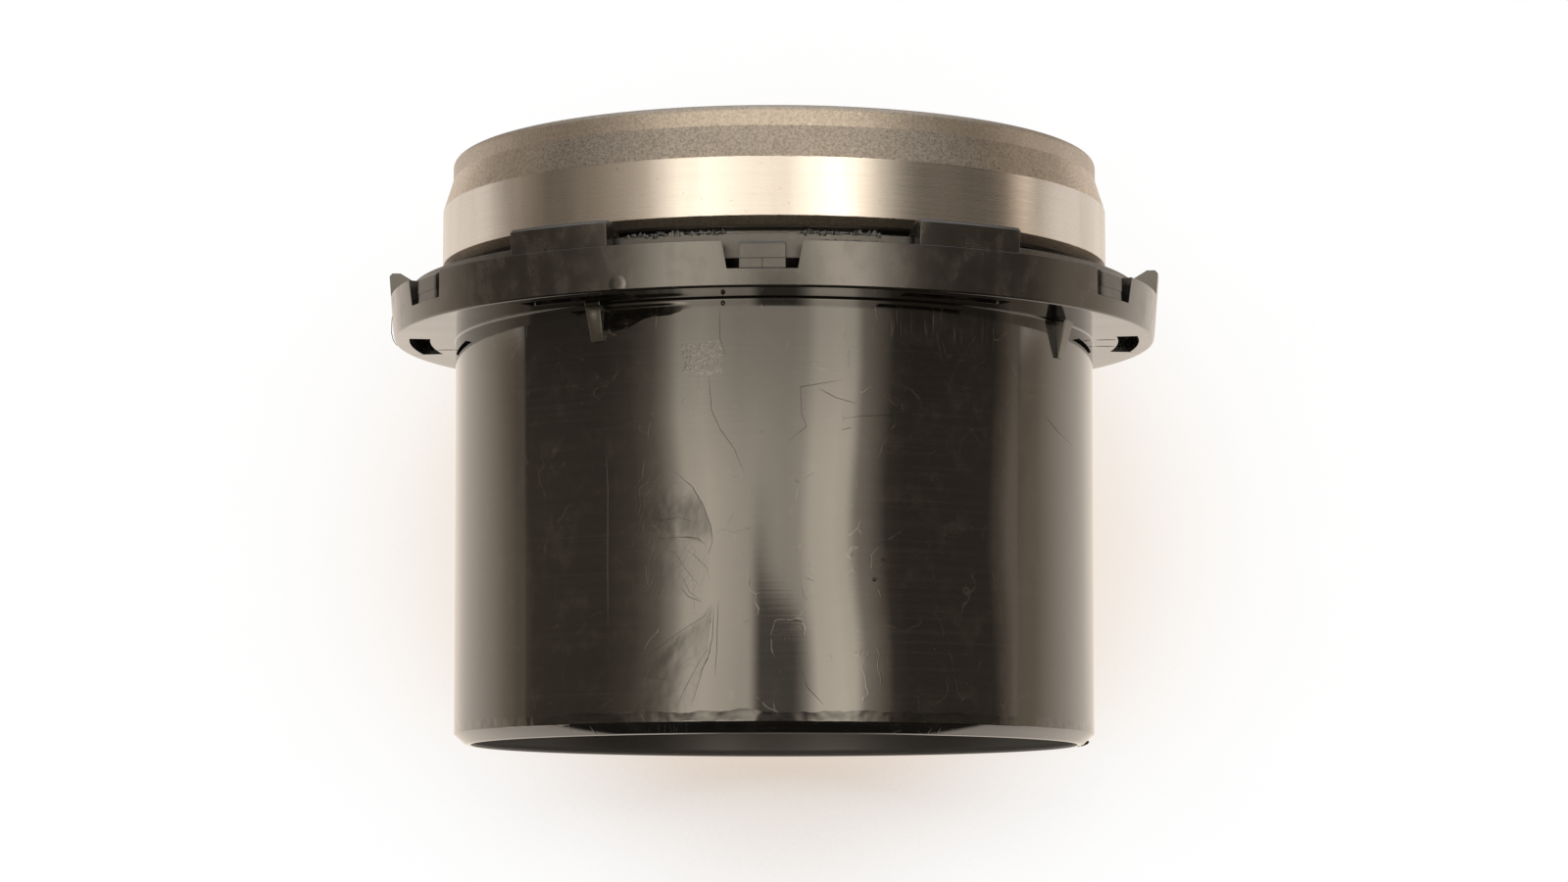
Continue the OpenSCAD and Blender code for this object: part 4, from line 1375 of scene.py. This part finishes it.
def table_material(tints):
    """White table behind the object: shaded where the object stands close, open from behind. Reflections
    see it warm, with a brightness of its own, and browner at the sides of the wall's mirror image."""
    f = Finish("white_table")
    x, y, z = f.axes(f.place())
    # Painted shade on the table: the shadow's tint low down, the side shade's tint higher up, where the
    # object stands close
    dark = f.mix(f.step(z, *TABLE_SHADE_Z), tints.shade, tints.side_shade)
    near = f.fall(f.openness(TABLE_SHADE_REACH), *TABLE_SHADE)
    cover = near.lesser(f.step(z, *TABLE_SHADE_Z, *TABLE_COVER))
    plain = f.mix(cover, WHITE, dark)
    low = f.fall(z - x.size() * MIRROR_SLOPE, *WALL_MIRROR_TOP)
    warm = f.mix(low * f.step(x.size(), *BROWN_SIDE), tints.glare, tints.gloom)
    glare = table_glare(f, x, z, low)
    seen = f.node("ShaderNodeLightPath", out="Is Camera Ray")
    return f.end(one_sided(f, f.glow(f.mix(seen, warm, plain), glare + seen * (1.0 - glare))))


def floor_material(tints):
    """Pale floor with the object's shadow, fading to white, and open from below."""
    f = Finish("pale_floor")
    turn, away, z = f.round_place()
    shade = f.fall(f.openness(FLOOR_SHADE_REACH), *FLOOR_SHADE)
    tint = f.mix(shade, tints.floor, tints.shade)
    tint = f.mix(f.step(away, *FLOOR_FADE), tint, WHITE)
    return f.end(one_sided(f, f.glow(tint, 1.0)))


def staged(name, points, faces, material, hidden):
    """A piece of the stage, hidden from the named kinds of rays."""
    made = add_object(name, plain_mesh(name, points, faces))
    made.data.materials.append(material)
    for ray in hidden:
        setattr(made, "visible_" + ray, False)


class BEARING_OT_stage(bpy.types.Operator):
    """Set the camera, the light bank, the white table and the floor"""

    bl_idname = "bearing.stage"
    bl_label = "Stage"

    def execute(self, context):
        stage = context.scene.bearing_stage
        tints = context.scene.bearing_colours
        self.set_camera(context.scene, stage)
        self.set_world(context.scene, stage)
        self.add_bank(stage, tints)
        self.add_table(context.scene.bearing_sleeve, tints)
        self.add_floor(tints)
        self.add_lamp(context.scene, stage)
        context.scene.view_settings.view_transform = "Standard"
        return {"FINISHED"}

    @staticmethod
    def set_camera(scene, stage):
        camera = bpy.data.objects.new("camera", bpy.data.cameras.new("camera"))
        scene.collection.objects.link(camera)
        camera.data.lens = stage.lens
        camera.data.sensor_width = stage.sensor
        camera.data.sensor_fit = "HORIZONTAL"
        camera.data.clip_start = CAMERA_NEAREST
        turn, rise = stage.camera_turn, stage.camera_rise
        right = Vector((math.cos(turn), math.sin(turn), 0))
        target = right * stage.target_side + Vector((0, 0, stage.target_z))
        back = Vector((math.sin(turn) * math.cos(rise), -math.cos(turn) * math.cos(rise), math.sin(rise)))
        aimed(camera, target + back * stage.camera_away, target)
        scene.camera = camera

    @staticmethod
    def set_world(scene, stage):
        world = bpy.data.worlds.new("soft_room")
        world.use_nodes = True
        world.node_tree.nodes.clear()
        net = Net(world.node_tree)
        rays = [net.node("ShaderNodeLightPath", out=name)
                for name in ("Is Camera Ray", "Is Glossy Ray", "Is Transmission Ray")]
        seen = rays[0].greater(rays[1]).greater(rays[2])
        level = seen + (1.0 - seen) * stage.sky_level
        sky = net.node("ShaderNodeBackground", None, {"Color": (*WHITE, 1), "Strength": level})
        net.node("ShaderNodeOutputWorld", None, {"Surface": sky})
        scene.world = world

    @staticmethod
    def add_bank(stage, tints):
        step = (BANK_LAST - BANK_FIRST) / BANK_PARTS
        start = BANK_FIRST + math.degrees(stage.camera_turn)
        points = [polar(stage.bank_r, start + step * i, level) for i in range(BANK_PARTS + 1)
                  for level in (stage.bank_low_z, stage.bank_top_z)]
        faces = [(2 * i, 2 * i + 1, 2 * i + 3, 2 * i + 2) for i in range(BANK_PARTS)]
        staged("light_bank", points, faces, bank_material(stage, tints), ("camera", "shadow"))
        rim = [polar(stage.bank_r, 360 * i / BANK_PARTS, stage.bank_low_z) for i in range(BANK_PARTS)]
        staged("dark_foot", rim, [range(BANK_PARTS)], foot_material(tints), ("camera", "shadow"))

    @staticmethod
    def add_table(sleeve, tints):
        lean = (sleeve.flange_r - sleeve.end_r + TABLE_OFF_FLANGE) / sleeve.flange_z
        corners = [(TABLE_LEFT, TABLE_LOW), (TABLE_RIGHT, TABLE_LOW), (TABLE_RIGHT, TABLE_TOP),
                   (TABLE_LEFT, TABLE_TOP)]
        points = [(x, sleeve.end_r + TABLE_OFF_END + lean * z, z) for x, z in corners]
        staged("white_table", points, [(0, 1, 2, 3)], table_material(tints),
               ("diffuse", "shadow", "transmission"))

    @staticmethod
    def add_floor(tints):
        corners = [(-1, -1), (1, -1), (1, 1), (-1, 1)]
        points = [(x * FLOOR_REACH, y * FLOOR_REACH, -FLOOR_DROP) for x, y in corners]
        staged("pale_floor", points, [(0, 1, 2, 3)], floor_material(tints),
               ("diffuse", "shadow", "transmission", "glossy"))

    @staticmethod
    def add_lamp(scene, stage):
        lamp = bpy.data.objects.new("lamp_overhead", bpy.data.lights.new("lamp_overhead", "AREA"))
        scene.collection.objects.link(lamp)
        lamp.data.shape = "DISK"
        lamp.data.size = LAMP_WIDTH
        lamp.data.energy = stage.lamp_power
        lamp.visible_camera = False
        lamp.visible_glossy = False
        aimed(lamp, LAMP_SPOT, LAMP_TARGET)


class BEARING_PT_panel(bpy.types.Panel):
    """The bearing's pieces and sizes"""

    bl_label = "Clutch release bearing"
    bl_idname = "BEARING_PT_panel"
    bl_space_type = "VIEW_3D"
    bl_region_type = "UI"
    bl_category = "Bearing"

    def draw(self, context):
        for step in STEPS:
            self.layout.operator(step.bl_idname)
        for name in GROUPS:
            column = self.layout.column()
            column.label(text=name.replace("_", " "))
            group = getattr(context.scene, name)
            for key in group.__annotations__:
                column.prop(group, key)


STEPS = [BEARING_OT_stage, BEARING_OT_guide_sleeve, BEARING_OT_carrier, BEARING_OT_outer_ring,
         BEARING_OT_inner_ring, BEARING_OT_seals, BEARING_OT_inner_parts]
GROUPS = {"bearing_sleeve": SleeveSizes, "bearing_carrier": CarrierSizes, "bearing_rings": RingSizes,
          "bearing_colours": Colours, "bearing_stage": StageSizes}


def register():
    for part in [*GROUPS.values(), *STEPS, BEARING_PT_panel]:
        bpy.utils.register_class(part)
    for name, group in GROUPS.items():
        setattr(bpy.types.Scene, name, PointerProperty(type=group))


def unregister():
    for name in GROUPS:
        delattr(bpy.types.Scene, name)
    for part in reversed([*GROUPS.values(), *STEPS, BEARING_PT_panel]):
        bpy.utils.unregister_class(part)


def main():
    register()
    for step in STEPS:
        family, name = step.bl_idname.split(".")
        getattr(getattr(bpy.ops, family), name)()


if __name__ == "__main__":
    main()
